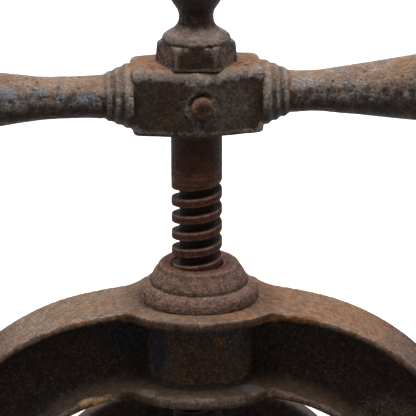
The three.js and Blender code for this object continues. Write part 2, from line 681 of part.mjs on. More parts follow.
/** Places a collar screw's tool or body over its hole. */
function atCollarScrew(shape, angle) {
  return shape.translate([collarScrewCircle, 0, 0]).rotate([0, 0, angle]);
}

const collarScrewAngles = {
  front: [-COLLAR_SCREW_ANGLE, COLLAR_SCREW_ANGLE - 180],
  rear: [COLLAR_SCREW_ANGLE, 180 - COLLAR_SCREW_ANGLE],
};

/** A countersunk screw, or with `grow` the hole that takes it. */
function collarScrew(grow = 0) {
  const head = COLLAR_SCREW_HEAD - COLLAR_SCREW_RADIUS;
  const top = collarTop + (grow > 0 ? OVERSHOOT : 0);
  return turned([
    [0, collarTop - COLLAR_SCREW_LENGTH - grow],
    [COLLAR_SCREW_RADIUS + grow, collarTop - COLLAR_SCREW_LENGTH - grow],
    [COLLAR_SCREW_RADIUS + grow, collarTop - head],
    [COLLAR_SCREW_HEAD + grow, collarTop],
    [COLLAR_SCREW_HEAD + grow, top],
    [0, top],
  ], SMALL_FACETS);
}

function retainingCollar(end) {
  const side = end === "front" ? -1 : 1;
  const ring = bar(SOCKET_RADIUS, socketTop + FIT, collarTop)
    .subtract(bar(SCREW_NECK_RADIUS + FIT, socketTop, collarTop + OVERSHOOT));
  const half = new THREE.BoxGeometry(3 * SOCKET_RADIUS, 2 * SOCKET_RADIUS, 3 * COLLAR_THICKNESS)
    .translate(0, side * (SOCKET_RADIUS + FIT / 2), collarTop);
  const holes = collarScrewAngles[end].map((angle) => atCollarScrew(collarScrew(FIT), angle));
  return cut(ring.intersect(solid(half)), ...holes);
}

function pressPlate() {
  const radius = CYLINDER_BORE - PLATE_CLEARANCE;
  const top = plateBottom + PLATE_THICKNESS;
  const socketBore = SCREW_HEAD_RADIUS + FIT;
  const disc = turned([
    [0, plateBottom],
    [radius - PLATE_EDGE, plateBottom],
    [radius, plateBottom + PLATE_EDGE],
    [radius, top - PLATE_EDGE],
    [radius - PLATE_EDGE, top],
    ...quarterRound([SOCKET_RADIUS + PLATE_FILLET, top], [SOCKET_RADIUS, top + PLATE_FILLET], false, 3),
    [SOCKET_RADIUS, socketTop],
    [0, socketTop],
  ], 2 * SLOT_COUNT);
  const rib = new THREE.Shape();
  rib.moveTo(socketBore + FIT, top - OVERSHOOT);
  rib.lineTo(radius - 2 * PLATE_EDGE, top - OVERSHOOT);
  rib.lineTo(radius - 2 * PLATE_EDGE, top);
  rib.lineTo(SOCKET_RADIUS, socketTop - PLATE_EDGE);
  rib.lineTo(socketBore + FIT, socketTop - PLATE_EDGE);
  const ribs = [];
  for (let i = 0; i < PLATE_RIBS; i += 1) {
    ribs.push(thickened(rib, PLATE_RIB_WIDTH).rotate([0, 0, (i * 360) / PLATE_RIBS]));
  }
  const socket = bar(socketBore, screwHeadBottom - FIT, socketTop + OVERSHOOT, THREAD_FACETS);
  const angles = [...collarScrewAngles.front, ...collarScrewAngles.rear];
  return cut(joined(disc, ...ribs), socket, ...angles.map((angle) => atCollarScrew(collarScrew(FIT), angle)));
}

// ---------------------------------------------------------------------------------------------------
// Handle
// ---------------------------------------------------------------------------------------------------

/** Sets a piece of the handle, built along X about the ground's origin, at its height and its turn. */
const onHandle = (shape) => shape.rotate([0, 0, HANDLE_TURN]).translate([0, 0, blockMiddle]);

/** The hole for the cross pin, through the handle block and the screw. */
function crossHole() {
  const hole = bar(PIN_RADIUS + FIT, -BLOCK_RIDGE_DEPTH, BLOCK_RIDGE_DEPTH, SMALL_FACETS);
  return onHandle(hole.rotate([90, 0, 0]));
}

/** The block: six-sided in plan, deepest at its middle, with every edge rounded. */
function handleBlock() {
  const [end, ridge] = [BLOCK_END_DEPTH / 2, BLOCK_RIDGE_DEPTH / 2];
  const half = BLOCK_LENGTH / 2;
  const corners = [[half, end], [0, ridge], [-half, end], [-half, -end], [0, -ridge], [half, -end]]
    .map(([x, y]) => new THREE.Vector2(x, y));
  const plan = new THREE.Shape();
  corners.forEach((corner, i) => {
    const before = corners[(i + 5) % 6].clone().sub(corner).setLength(BLOCK_EDGE).add(corner);
    const after = corners[(i + 1) % 6].clone().sub(corner).setLength(BLOCK_EDGE).add(corner);
    if (i === 0) plan.moveTo(before.x, before.y);
    else plan.lineTo(before.x, before.y);
    plan.quadraticCurveTo(corner.x, corner.y, after.x, after.y);
  });
  const rounded = new THREE.ExtrudeGeometry(plan, {
    depth: BLOCK_HEIGHT - 2 * BLOCK_EDGE,
    bevelThickness: BLOCK_EDGE,
    bevelSize: BLOCK_EDGE,
    bevelOffset: -BLOCK_EDGE,
    bevelSegments: 3,
    curveSegments: 3,
  });
  return solid(rounded.translate(0, 0, BLOCK_EDGE - BLOCK_HEIGHT / 2));
}

/** One arm, drawn upright: stepped collars, a neck, and a grip that swells and closes in a round end. */
function handleArm(swell) {
  const start = BLOCK_LENGTH / 2;
  const points = [[0, start - OVERSHOOT], [COLLAR_OUTER_RADIUS, start - OVERSHOOT]];
  for (let step = 0; step < COLLAR_STEPS; step += 1) {
    const radius = COLLAR_OUTER_RADIUS - step * COLLAR_STEP_DROP;
    const end = start + (step + 1) * COLLAR_STEP_LENGTH;
    points.push([radius, end - COLLAR_STEP_DROP / 2], [radius - COLLAR_STEP_DROP, end]);
  }
  const neck = start + COLLAR_STEPS * COLLAR_STEP_LENGTH;
  const tip = ARM_REACH - ARM_TIP_LENGTH;
  const grip = tip - neck;
  const spline = new THREE.SplineCurve([
    new THREE.Vector2(ARM_NECK_RADIUS, neck),
    new THREE.Vector2(ARM_NECK_RADIUS, neck + 0.14 * grip),
    new THREE.Vector2((ARM_NECK_RADIUS + swell) / 2, neck + 0.49 * grip),
    new THREE.Vector2(swell, neck + 0.86 * grip),
    new THREE.Vector2(ARM_TIP_SHARE * swell, tip),
  ]);
  points.push(...spline.getPoints(8).map(({ x, y }) => [x, y]));
  points.push(...quarterRound([ARM_TIP_SHARE * swell, tip], [0, ARM_REACH], true, 4).slice(1));
  return turned(points, THREAD_FACETS);
}

function crossHandle() {
  const right = handleArm(ARM_SWELL_RIGHT).rotate([0, 90, 0]);
  const left = handleArm(ARM_SWELL_LEFT).rotate([0, -90, 0]);
  const bore = bar(SCREW_JOURNAL_RADIUS + FIT, blockBottom - OVERSHOOT, blockTop + OVERSHOOT, THREAD_FACETS);
  return cut(onHandle(joined(handleBlock(), right, left)), bore, crossHole());
}

function crossPin() {
  const seat = BLOCK_RIDGE_DEPTH / 2 + FIT;
  const dome = PIN_HEAD_HEIGHT / 2;
  const head = turned([
    [0, seat],
    [PIN_HEAD_RADIUS, seat],
    ...quarterRound([PIN_HEAD_RADIUS, seat + dome], [PIN_HEAD_RADIUS - dome, seat + PIN_HEAD_HEIGHT]),
    [0, seat + PIN_HEAD_HEIGHT],
  ], 16);
  const shaft = bar(PIN_RADIUS, -seat - OVERSHOOT / 2, seat + OVERSHOOT / 2, SMALL_FACETS);
  return onHandle(joined(shaft, head, head.rotate([180, 0, 0])).rotate([90, 0, 0]));
}

function finialNut() {
  const bottom = blockTop + FIT;
  const hexTop = bottom + HEX_HEIGHT;
  const [neck, foot] = [hexTop + BELL_HEIGHT, hexTop + BALL_FOOT];
  const ballMiddle = foot + Math.sqrt(BALL_RADIUS ** 2 - BALL_FOOT_RADIUS ** 2);
  const flank = new THREE.SplineCurve([
    new THREE.Vector2(BELL_RADIUS, hexTop + 0.13 * BELL_HEIGHT),
    new THREE.Vector2(0.85 * BELL_RADIUS, hexTop + 0.36 * BELL_HEIGHT),
    new THREE.Vector2(0.6 * BELL_RADIUS, hexTop + 0.67 * BELL_HEIGHT),
    new THREE.Vector2(FINIAL_NECK_RADIUS, neck),
    new THREE.Vector2((FINIAL_NECK_RADIUS + BALL_FOOT_RADIUS) / 2, (neck + 2 * foot) / 3),
    new THREE.Vector2(BALL_FOOT_RADIUS, foot),
  ]);
  const from = -Math.acos(BALL_FOOT_RADIUS / BALL_RADIUS);
  const ball = [];
  for (let i = 1; i <= BALL_STEPS; i += 1) {
    const angle = from + (i / BALL_STEPS) * (Math.PI / 2 - from);
    ball.push([i < BALL_STEPS ? BALL_RADIUS * Math.cos(angle) : 0, ballMiddle + BALL_RADIUS * Math.sin(angle)]);
  }
  const round = turned([
    [0, hexTop - OVERSHOOT],
    [BELL_RADIUS, hexTop - OVERSHOOT],
    ...flank.getPoints(11).map(({ x, y }) => [x, y]),
    ...ball,
  ], THREAD_FACETS);
  const hexagon = bar(HEX_RADIUS_BOTTOM, bottom, hexTop, 6, HEX_RADIUS_TOP).rotate([0, 0, 30]);
  const flatTop = HEX_RADIUS_TOP * Math.cos(Math.PI / 6);
  const slope = HEX_RADIUS_BOTTOM - flatTop;
  const corners = turned([
    [0, bottom],
    [HEX_RADIUS_BOTTOM, bottom],
    [HEX_RADIUS_BOTTOM, hexTop - slope],
    [flatTop, hexTop],
    [0, hexTop],
  ]);
  const bore = bar(STUD_RADIUS + FIT, bottom - OVERSHOOT, blockTop + STUD_LENGTH + OVERSHOOT, THREAD_FACETS);
  return cut(hexagon.intersect(corners).add(round), bore);
}

// ---------------------------------------------------------------------------------------------------
// Assembly
// ---------------------------------------------------------------------------------------------------

const finish = (color, roughness, metalness) => new THREE.MeshStandardMaterial({ color, roughness, metalness });
const castIron = () => finish(0x6e5c50, 0.82, 0.45);
const darkIron = () => finish(0x3d3029, 0.78, 0.5);
const turnedSteel = () => finish(0x4b3428, 0.6, 0.7);
const handledIron = () => finish(0x75655a, 0.7, 0.5);

const press = new THREE.Group();

function place(name, shape, material, x = 0, y = 0) {
  const mesh = new THREE.Mesh(geometryOf(shape), material);
  mesh.name = name;
  mesh.position.set(x, y, 0);
  press.add(mesh);
}

place("press_frame", pressFrame(), castIron());
place("juice_tray", juiceTray(), castIron());
place("strainer_cylinder", strainerCylinder(), darkIron());
place("strainer_floor", strainerFloor(), darkIron());
place("press_plate", pressPlate(), darkIron());
for (const end of ["front", "rear"]) {
  place(`retaining_collar_${end}`, retainingCollar(end), darkIron());
  collarScrewAngles[end].forEach((angle, i) => {
    place(`collar_screw_${end}_${i + 1}`, atCollarScrew(collarScrew(), angle), turnedSteel());
  });
}
place("press_screw", pressScrew(), turnedSteel());
place("cross_handle", crossHandle(), handledIron());
place("cross_pin", crossPin(), turnedSteel());
place("finial_nut", finialNut(), handledIron());
for (const { name, x, y } of boltPlaces()) {
  place(`frame_bolt_${name}`, frameBolt(), turnedSteel(), x, y);
  place(`frame_washer_${name}`, frameWasher(), turnedSteel(), x, y);
  place(`frame_nut_${name}`, frameNut(), turnedSteel(), x, y);
}

// The origin is the middle of the footprint on the ground, so the spout sets the screw's axis back from it.
press.position.y = (SPOUT_LENGTH - TRAY_BEAD) / 2;

export default press;
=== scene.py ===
"""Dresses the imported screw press: its castings, screw, fasteners, finishes, light and camera."""

import logging
import sys
from dataclasses import dataclass
from enum import Enum
from math import asin, ceil, cos, hypot, pi, radians, sin, sqrt, tan
from typing import Callable, Sequence

import bmesh
import bpy
import numpy as np
from bpy.types import Material, Node, NodeSocket, NodeTree, Object
from mathutils import Matrix, Vector


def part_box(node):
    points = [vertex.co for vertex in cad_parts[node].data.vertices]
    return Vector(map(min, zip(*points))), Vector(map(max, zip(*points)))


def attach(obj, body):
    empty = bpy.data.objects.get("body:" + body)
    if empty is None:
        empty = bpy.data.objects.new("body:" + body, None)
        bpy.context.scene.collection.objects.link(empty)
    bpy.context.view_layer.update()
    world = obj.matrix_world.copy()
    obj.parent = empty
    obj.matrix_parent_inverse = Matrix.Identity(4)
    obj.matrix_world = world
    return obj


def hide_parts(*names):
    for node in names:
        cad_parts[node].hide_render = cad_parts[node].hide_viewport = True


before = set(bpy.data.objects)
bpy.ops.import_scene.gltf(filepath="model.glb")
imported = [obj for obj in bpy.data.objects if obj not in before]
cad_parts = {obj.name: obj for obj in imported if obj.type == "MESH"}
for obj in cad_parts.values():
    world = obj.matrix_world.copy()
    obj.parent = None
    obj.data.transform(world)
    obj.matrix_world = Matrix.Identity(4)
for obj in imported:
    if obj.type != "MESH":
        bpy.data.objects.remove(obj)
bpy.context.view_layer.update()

log = logging.getLogger("press")

MM = 0.001
TURN = 2 * pi
CORE = 0.3  # radius, in millimetres, at which a solid profile starts and ends
SEAT = 0.3  # gap between seated pieces, in millimetres
Outputs = bpy.types.bpy_prop_collection
Profile = Sequence[tuple[float, float]]
Line = list[tuple[float, float]]
Colour = tuple[float, float, float]


class Body(Enum):
    """The bodies that pieces ride on."""

    FRAME = "frame"
    PLATE = "plate"
    SCREW = "screw"


def shade(red: int, green: int, blue: int) -> tuple[float, float, float, float]:
    """A display colour, 0 to 255 a channel, as the linear colour that a shader takes.

    Args:
        red: red channel.
        green: green channel.
        blue: blue channel.

    Returns:
        The linear colour with full alpha.
    """
    linear = [((c / 255 + 0.055) / 1.055) ** 2.4 if c > 10 else c / 255 / 12.92 for c in (red, green, blue)]
    return (linear[0], linear[1], linear[2], 1.0)


@dataclass(frozen=True)
class Datum:
    """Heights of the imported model's pieces, and its screw axis, in millimetres."""

    axis_y: float
    boss_top: float
    pad_bottom: float
    block_middle: float
    finial_bottom: float
    finial_top: float
    cylinder_bottom: float
    cylinder_top: float
    cylinder_radius: float
    floor_bottom: float
    floor_top: float
    plate_bottom: float
    socket_top: float
    collar_top: float
    head_bottom: float

    @classmethod
    def read(cls) -> "Datum":
        """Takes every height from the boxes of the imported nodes.

        Returns:
            The heights and the axis.
        """
        box = {name: [np.array(corner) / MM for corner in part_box(name)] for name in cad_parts}
        low = {name: float(corners[0][2]) for name, corners in box.items()}
        high = {name: float(corners[1][2]) for name, corners in box.items()}
        finial = box["finial_nut"]
        return cls(
            axis_y=float(finial[0][1] + finial[1][1]) / 2,
            boss_top=high["press_frame"],
            pad_bottom=low["press_frame"],
            block_middle=(low["cross_handle"] + high["cross_handle"]) / 2,
            finial_bottom=low["finial_nut"],
            finial_top=high["finial_nut"],
            cylinder_bottom=low["strainer_cylinder"],
            cylinder_top=high["strainer_cylinder"],
            cylinder_radius=float(box["strainer_cylinder"][1][0]),
            floor_bottom=low["strainer_floor"],
            floor_top=high["strainer_floor"],
            plate_bottom=low["press_plate"],
            socket_top=high["press_plate"],
            collar_top=high["retaining_collar_front"],
            head_bottom=low["press_screw"],
        )


DATUM = Datum.read()


# Plain shells


@dataclass
class Shell:
    """A closed shell about the screw's axis: its points in millimetres and its faces."""

    points: np.ndarray
    faces: list[tuple[int, ...]]

    def placed(self, x: float = 0.0, y: float = 0.0, z: float = 0.0, turn: float = 0.0) -> "Shell":
        """A copy turned about the axis by degrees and then moved."""
        matrix = np.array(Matrix.Rotation(radians(turn), 3, "Z"))
        return Shell(self.points @ matrix.T + np.array([x, y, z]), self.faces)

    def laid(self, axis: str, degrees: float) -> "Shell":
        """A copy turned about a named axis."""
        matrix = np.array(Matrix.Rotation(radians(degrees), 3, axis))
        return Shell(self.points @ matrix.T, self.faces)


def loft(rings: Sequence[np.ndarray]) -> Shell:
    """A closed shell through rings of points, with a flat cap at each end.

    Args:
        rings: rings of as many points each, in order.

    Returns:
        The shell.
    """
    count = len(rings[0])
    faces: list[tuple[int, ...]] = []
    for ring in range(len(rings) - 1):
        low, high = ring * count, (ring + 1) * count
        for i in range(count):
            j = (i + 1) % count
            faces.append((low + i, low + j, high + j, high + i))
    faces.append(tuple(reversed(range(count))))
    faces.append(tuple(range((len(rings) - 1) * count, len(rings) * count)))
    return Shell(np.concatenate(rings), faces)


def polar(levels: Sequence[float], radius: Callable[[float, float], float], facets: int) -> Shell:
    """A solid whose radius depends on the height and on the angle round the axis.

    Args:
        levels: heights of its rings.
        radius: gives the radius at an angle and a height.
        facets: points round each ring.

    Returns:
        The shell.
    """
    rings = []
    for level in levels:
        ring = []
        for i in range(facets):
            angle = TURN * i / facets
            reach = radius(angle, level)
            ring.append((reach * cos(angle), reach * sin(angle), level))
        rings.append(np.array(ring))
    return loft(rings)


def turned(profile: Profile, facets: int = 96) -> Shell:
    """A solid of revolution, from a profile of radius and height that starts and ends near the axis.

    Args:
        profile: radii and heights, from the lower end to the upper.
        facets: sides of each ring.

    Returns:
        The closed shell.
    """
    angles = np.arange(facets) * TURN / facets
    rings = [np.stack([r * np.cos(angles), r * np.sin(angles), np.full(facets, z)], axis=1) for r, z in profile]
    return loft(rings)


def hollow(profile: Profile, facets: int = 96) -> Shell:
    """A ring-shaped solid of revolution, from a closed profile that stays off the axis.

    Args:
        profile: radii and heights round the section.
        facets: sections round the axis.

    Returns:
        The closed shell.
    """
    angles = np.arange(facets) * TURN / facets
    count = len(profile)
    points = [(r * cos(a), r * sin(a), z) for a in angles for r, z in profile]
    faces = []
    for i in range(facets):
        here, there = i * count, ((i + 1) % facets) * count
        for k in range(count):
            m = (k + 1) % count
            faces.append((here + k, there + k, there + m, here + m))
    return Shell(np.array(points), faces)


def bar(radius: float, bottom: float, top: float, top_radius: float | None = None, facets: int = 64) -> Shell:
    """An upright round bar or cone between two heights."""
    return turned([(radius, bottom), (radius if top_radius is None else top_radius, top)], facets)


def slab(plan: Sequence[tuple[float, float]], bottom: float, top: float) -> Shell:
    """A plan outline raised between two heights."""
    flat = np.array(plan)
    return loft([np.column_stack([flat, np.full(len(flat), z)]) for z in (bottom, top)])


def rounded_box(width: float, depth: float, corner: float, steps: int = 8) -> Line:
    """A rectangle's outline with rounded corners, centred on the origin.

    Args:
        width, depth: its sizes along X and Y.
        corner: radius of its corners.
        steps: points of each corner, less one.

    Returns:
        The outline's points.
    """
    outline = []
    for quarter, (sx, sy) in enumerate([(1, 1), (-1, 1), (-1, -1), (1, -1)]):
        for i in range(steps + 1):
            angle = (quarter + i / steps) * TURN / 4
            x = sx * (width / 2 - corner) + corner * cos(angle)
            outline.append((x, sy * (depth / 2 - corner) + corner * sin(angle)))
    return outline


def soft_corners(outline: Profile, radius: float, steps: int = 5) -> Line:
    """A closed outline whose corners are rounded off.

    Args:
        outline: its corners.
        radius: how far from a corner its rounding starts.
        steps: points in a rounding.

    Returns:
        The rounded outline.
    """
    soft = []
    for i, corner in enumerate(outline):
        here, before, after = np.array(corner), np.array(outline[i - 1]), np.array(outline[(i + 1) % len(outline)])
        start = here + (before - here) / np.linalg.norm(before - here) * radius
        end = here + (after - here) / np.linalg.norm(after - here) * radius
        for t in np.linspace(0, 1, steps):
            point = (1 - t) ** 2 * start + 2 * t * (1 - t) * here + t**2 * end
            soft.append((float(point[0]), float(point[1])))
    return soft


def smooth_line(marks: Profile, steps: int) -> Line:
    """A smooth curve of radius and height through marks, as a centripetal spline.

    Args:
        marks: the points that it passes through.
        steps: points between two marks.

    Returns:
        The points on the curve.
    """
    known = [np.array(mark, dtype=float) for mark in marks]
    padded = [2 * known[0] - known[1], *known, 2 * known[-1] - known[-2]]
    line = []
    for a, b, c, d in zip(padded, padded[1:], padded[2:], padded[3:]):
        for i in range(steps):
            t = i / steps
            point = 0.5 * (2 * b + (c - a) * t + (2 * a - 5 * b + 4 * c - d) * t**2 + (3 * b - a - 3 * c + d) * t**3)
            line.append((float(point[0]), float(point[1])))
    line.append((float(known[-1][0]), float(known[-1][1])))
    return line


def closer(profile: Profile, step: float) -> Line:
    """A profile with points added, so that none of its sides is longer than a step.

    Args:
        profile: the points as they are drawn.
        step: the longest side.

    Returns:
        The profile's points and the added ones.
    """
    line = [profile[0]]
    for (r0, z0), (r1, z1) in zip(profile, profile[1:]):
        parts = max(1, ceil(hypot(r1 - r0, z1 - z0) / step))
        line += [(r0 + (r1 - r0) * i / parts, z0 + (z1 - z0) * i / parts) for i in range(1, parts + 1)]
    return line


def linked(name: str, data: bpy.types.ID) -> Object:
    """An object of the scene that holds some data.

    Args:
        name: the object's name.
        data: a mesh, a light or a camera.

    Returns:
        The object.
    """
    made = bpy.data.objects.new(name, data)
    bpy.context.scene.collection.objects.link(made)
    return made


def to_axis(piece: Object) -> Object:
    """Moves a piece's mesh from the origin to the screw's axis."""
    piece.data.transform(Matrix.Translation((0.0, DATUM.axis_y * MM, 0.0)))
    return piece


def object_from(name: str, shells: Sequence[Shell], on_axis: bool = True) -> Object:
    """An object whose mesh holds shells, in metres, with faces that point outwards.

    Args:
        name: the object's name.
        shells: the shells, in millimetres.
        on_axis: whether they are moved to the screw's axis.

    Returns:
        The object, at the origin.
    """
    points, faces, start = [], [], 0
    for shell in shells:
        points.append(shell.points)
        faces += [tuple(start + corner for corner in face) for face in shell.faces]
        start += len(shell.points)
    shift = np.array([0.0, DATUM.axis_y if on_axis else 0.0, 0.0])
    mesh = bpy.data.meshes.new(name)
    mesh.from_pydata(((np.concatenate(points) + shift) * MM).tolist(), [], faces)
    work = bmesh.new()
    work.from_mesh(mesh)
    bmesh.ops.remove_doubles(work, verts=work.verts, dist=1e-7)
    bmesh.ops.recalc_face_normals(work, faces=work.faces)
    work.to_mesh(mesh)
    work.free()
    return linked(name, mesh)


# Node trees


class Sheet:
    """A node tree that is being drawn."""

    def __init__(self, tree: NodeTree) -> None:
        """Draws into a tree."""
        self.tree = tree

    def feed(self, node: Node, values: dict[str | int, object]) -> None:
        """Gives each input of a node, by name or place, a value or the socket that feeds it.

        Args:
            node: the node that takes them.
            values: the value or the socket for each input.
        """
        for key, value in values.items():
            if isinstance(value, NodeSocket):
                self.tree.links.new(value, node.inputs[key])
            else:
                node.inputs[key].default_value = value

    def node(self, kind: str, values: dict[str | int, object] | None = None, **settings: object) -> Node:
        """Adds a node.

        Args:
            kind: the node's type.
            values: what its inputs are given.
            **settings: the node's own properties.

        Returns:
            The node.
        """
        made = self.tree.nodes.new(kind)
        for name, value in settings.items():
            setattr(made, name, value)
        self.feed(made, values or {})
        return made

    def closed(self, result: Node, values: dict[str | int, object]) -> NodeTree:
        """The tree, once its output node is fed."""
        self.feed(result, values)
        return self.tree

    def math(self, operation: str, first: object, second: object = 0.0, clamp: bool = False) -> NodeSocket:
        """The result of a sum on two numbers or sockets."""
        return self.node("ShaderNodeMath", {0: first, 1: second}, operation=operation, use_clamp=clamp).outputs[0]

    def plus(self, first: object, second: object, clamp: bool = False) -> NodeSocket:
        """Two numbers added."""
        return self.math("ADD", first, second, clamp)

    def less(self, first: object, second: object, clamp: bool = False) -> NodeSocket:
        """The second number taken from the first."""
        return self.math("SUBTRACT", first, second, clamp)

    def times(self, first: object, second: object, clamp: bool = False) -> NodeSocket:
        """Two numbers multiplied."""
        return self.math("MULTIPLY", first, second, clamp)

    def swing(self, noise: NodeSocket, reach: object) -> NodeSocket:
        """A noise that swings about 0 by a reach."""
        return self.times(self.less(noise, 0.5), reach)

    def vector(self, operation: str, first: object, second: object, output: int = 0) -> NodeSocket:
        """The result of a sum on two vectors."""
        return self.node("ShaderNodeVectorMath", {0: first, 1: second}, operation=operation).outputs[output]

    def scaled(self, vector: NodeSocket, factor: object) -> NodeSocket:
        """A vector, or a colour, times a number."""
        return self.node("ShaderNodeVectorMath", {0: vector, "Scale": factor}, operation="SCALE").outputs[0]

    def length(self, vector: NodeSocket) -> NodeSocket:
        """A vector's length."""
        return self.node("ShaderNodeVectorMath", {0: vector}, operation="LENGTH").outputs["Value"]

    def parts(self, vector: NodeSocket) -> Sequence[NodeSocket]:
        """A vector's X, Y and Z."""
        return self.node("ShaderNodeSeparateXYZ", {0: vector}).outputs

    def joined(self, x: object = 0.0, y: object = 0.0, z: object = 0.0) -> NodeSocket:
        """A vector from its X, Y and Z."""
        return self.node("ShaderNodeCombineXYZ", {0: x, 1: y, 2: z}).outputs[0]

    def round_axis(self, radius: object, angle: object, height: object) -> NodeSocket:
        """The place at a radius, an angle and a height about the Z axis."""
        return self.joined(
            self.times(self.math("COSINE", angle), radius), self.times(self.math("SINE", angle), radius), height,
        )

    def noise(self, scale: object, detail: float, roughness: float = 0.5, **more: object) -> NodeSocket:
        """A cloudy noise from 0 to 1; more gives its Vector or its Distortion."""
        return self.node(
            "ShaderNodeTexNoise", {"Scale": scale, "Detail": detail, "Roughness": roughness} | more,
        ).outputs[0]

    def ramp(self, value: object, low: object, high: object) -> NodeSocket:
        """A smooth step from 0 at low to 1 at high."""
        return self.node("ShaderNodeMapRange", {0: value, 1: low, 2: high}, interpolation_type="SMOOTHSTEP").outputs[0]

    def mix(self, share: object, first: object, second: object) -> NodeSocket:
        """One colour laid over another by a share. A colour is a socket or a display colour."""
        first, second = (shade(*value) if isinstance(value, tuple) else value for value in (first, second))
        return self.node("ShaderNodeMix", {0: share, 6: first, 7: second}, data_type="RGBA").outputs[2]


class Socket(Enum):
    """Kinds of sockets on a tree's own face."""

    NUMBER = "NodeSocketFloat"
    COUNT = "NodeSocketInt"
    VECTOR = "NodeSocketVector"
    GEOMETRY = "NodeSocketGeometry"
    OBJECT = "NodeSocketObject"
    MATERIAL = "NodeSocketMaterial"


def new_tree(
    kind: str, name: str, inputs: dict[str, Socket], outputs: dict[str, Socket]
) -> tuple[Sheet, Outputs, Node]:
    """An empty node group with named sockets.

    Args:
        kind: the tree's type.
        name: the group's name.
        inputs: the sockets that go in.
        outputs: the sockets that come out.

    Returns:
        The sheet, what goes in by name, and the output node.
    """
    tree = bpy.data.node_groups.new(name, kind)
    for way, sockets in (("INPUT", inputs), ("OUTPUT", outputs)):
        for label, socket in sockets.items():
            tree.interface.new_socket(label, in_out=way, socket_type=socket.value)
    sheet = Sheet(tree)
    return sheet, sheet.node("NodeGroupInput").outputs, sheet.node("NodeGroupOutput")


def numbers(*names: str) -> dict[str, Socket]:
    """Number sockets of these names."""
    return {name: Socket.NUMBER for name in names}


@dataclass
class Recipe:
    """A Geometry Nodes tree and the values of its named inputs."""

    tree: NodeTree
    values: dict[str, object]

    def put_on(self, target: Object) -> None:
        """Adds the tree to an object as a modifier, with its inputs set by identifier.

        Args:
            target: the object that takes it.
        """
        modifier = target.modifiers.new(self.tree.name, "NODES")
        modifier.node_group = self.tree
        for item in self.tree.interface.items_tree:
            if item.in_out == "INPUT" and item.name in self.values:
                modifier[item.identifier] = self.values[item.name]


def baked(source: Object, name: str) -> Object:
    """A plain object at the origin, with the shape that an object's modifiers give. The object is removed.

    Args:
        source: the object with modifiers.
        name: the plain object's name.

    Returns:
        The plain object.
    """
    bpy.context.view_layer.update()
    graph = bpy.context.evaluated_depsgraph_get()
    mesh = bpy.data.meshes.new_from_object(source.evaluated_get(graph), preserve_all_data_layers=True, depsgraph=graph)
    bpy.data.objects.remove(source)
    mesh.name = name
    return linked(name, mesh)


def shape_tree(name: str, inputs: dict[str, Socket]) -> tuple[Sheet, Outputs, Node]:
    """An empty Geometry Nodes tree that takes a geometry and other named inputs, and gives a geometry."""
    geometry = {"Geometry": Socket.GEOMETRY}
    return new_tree("GeometryNodeTree", name, geometry | inputs, geometry)


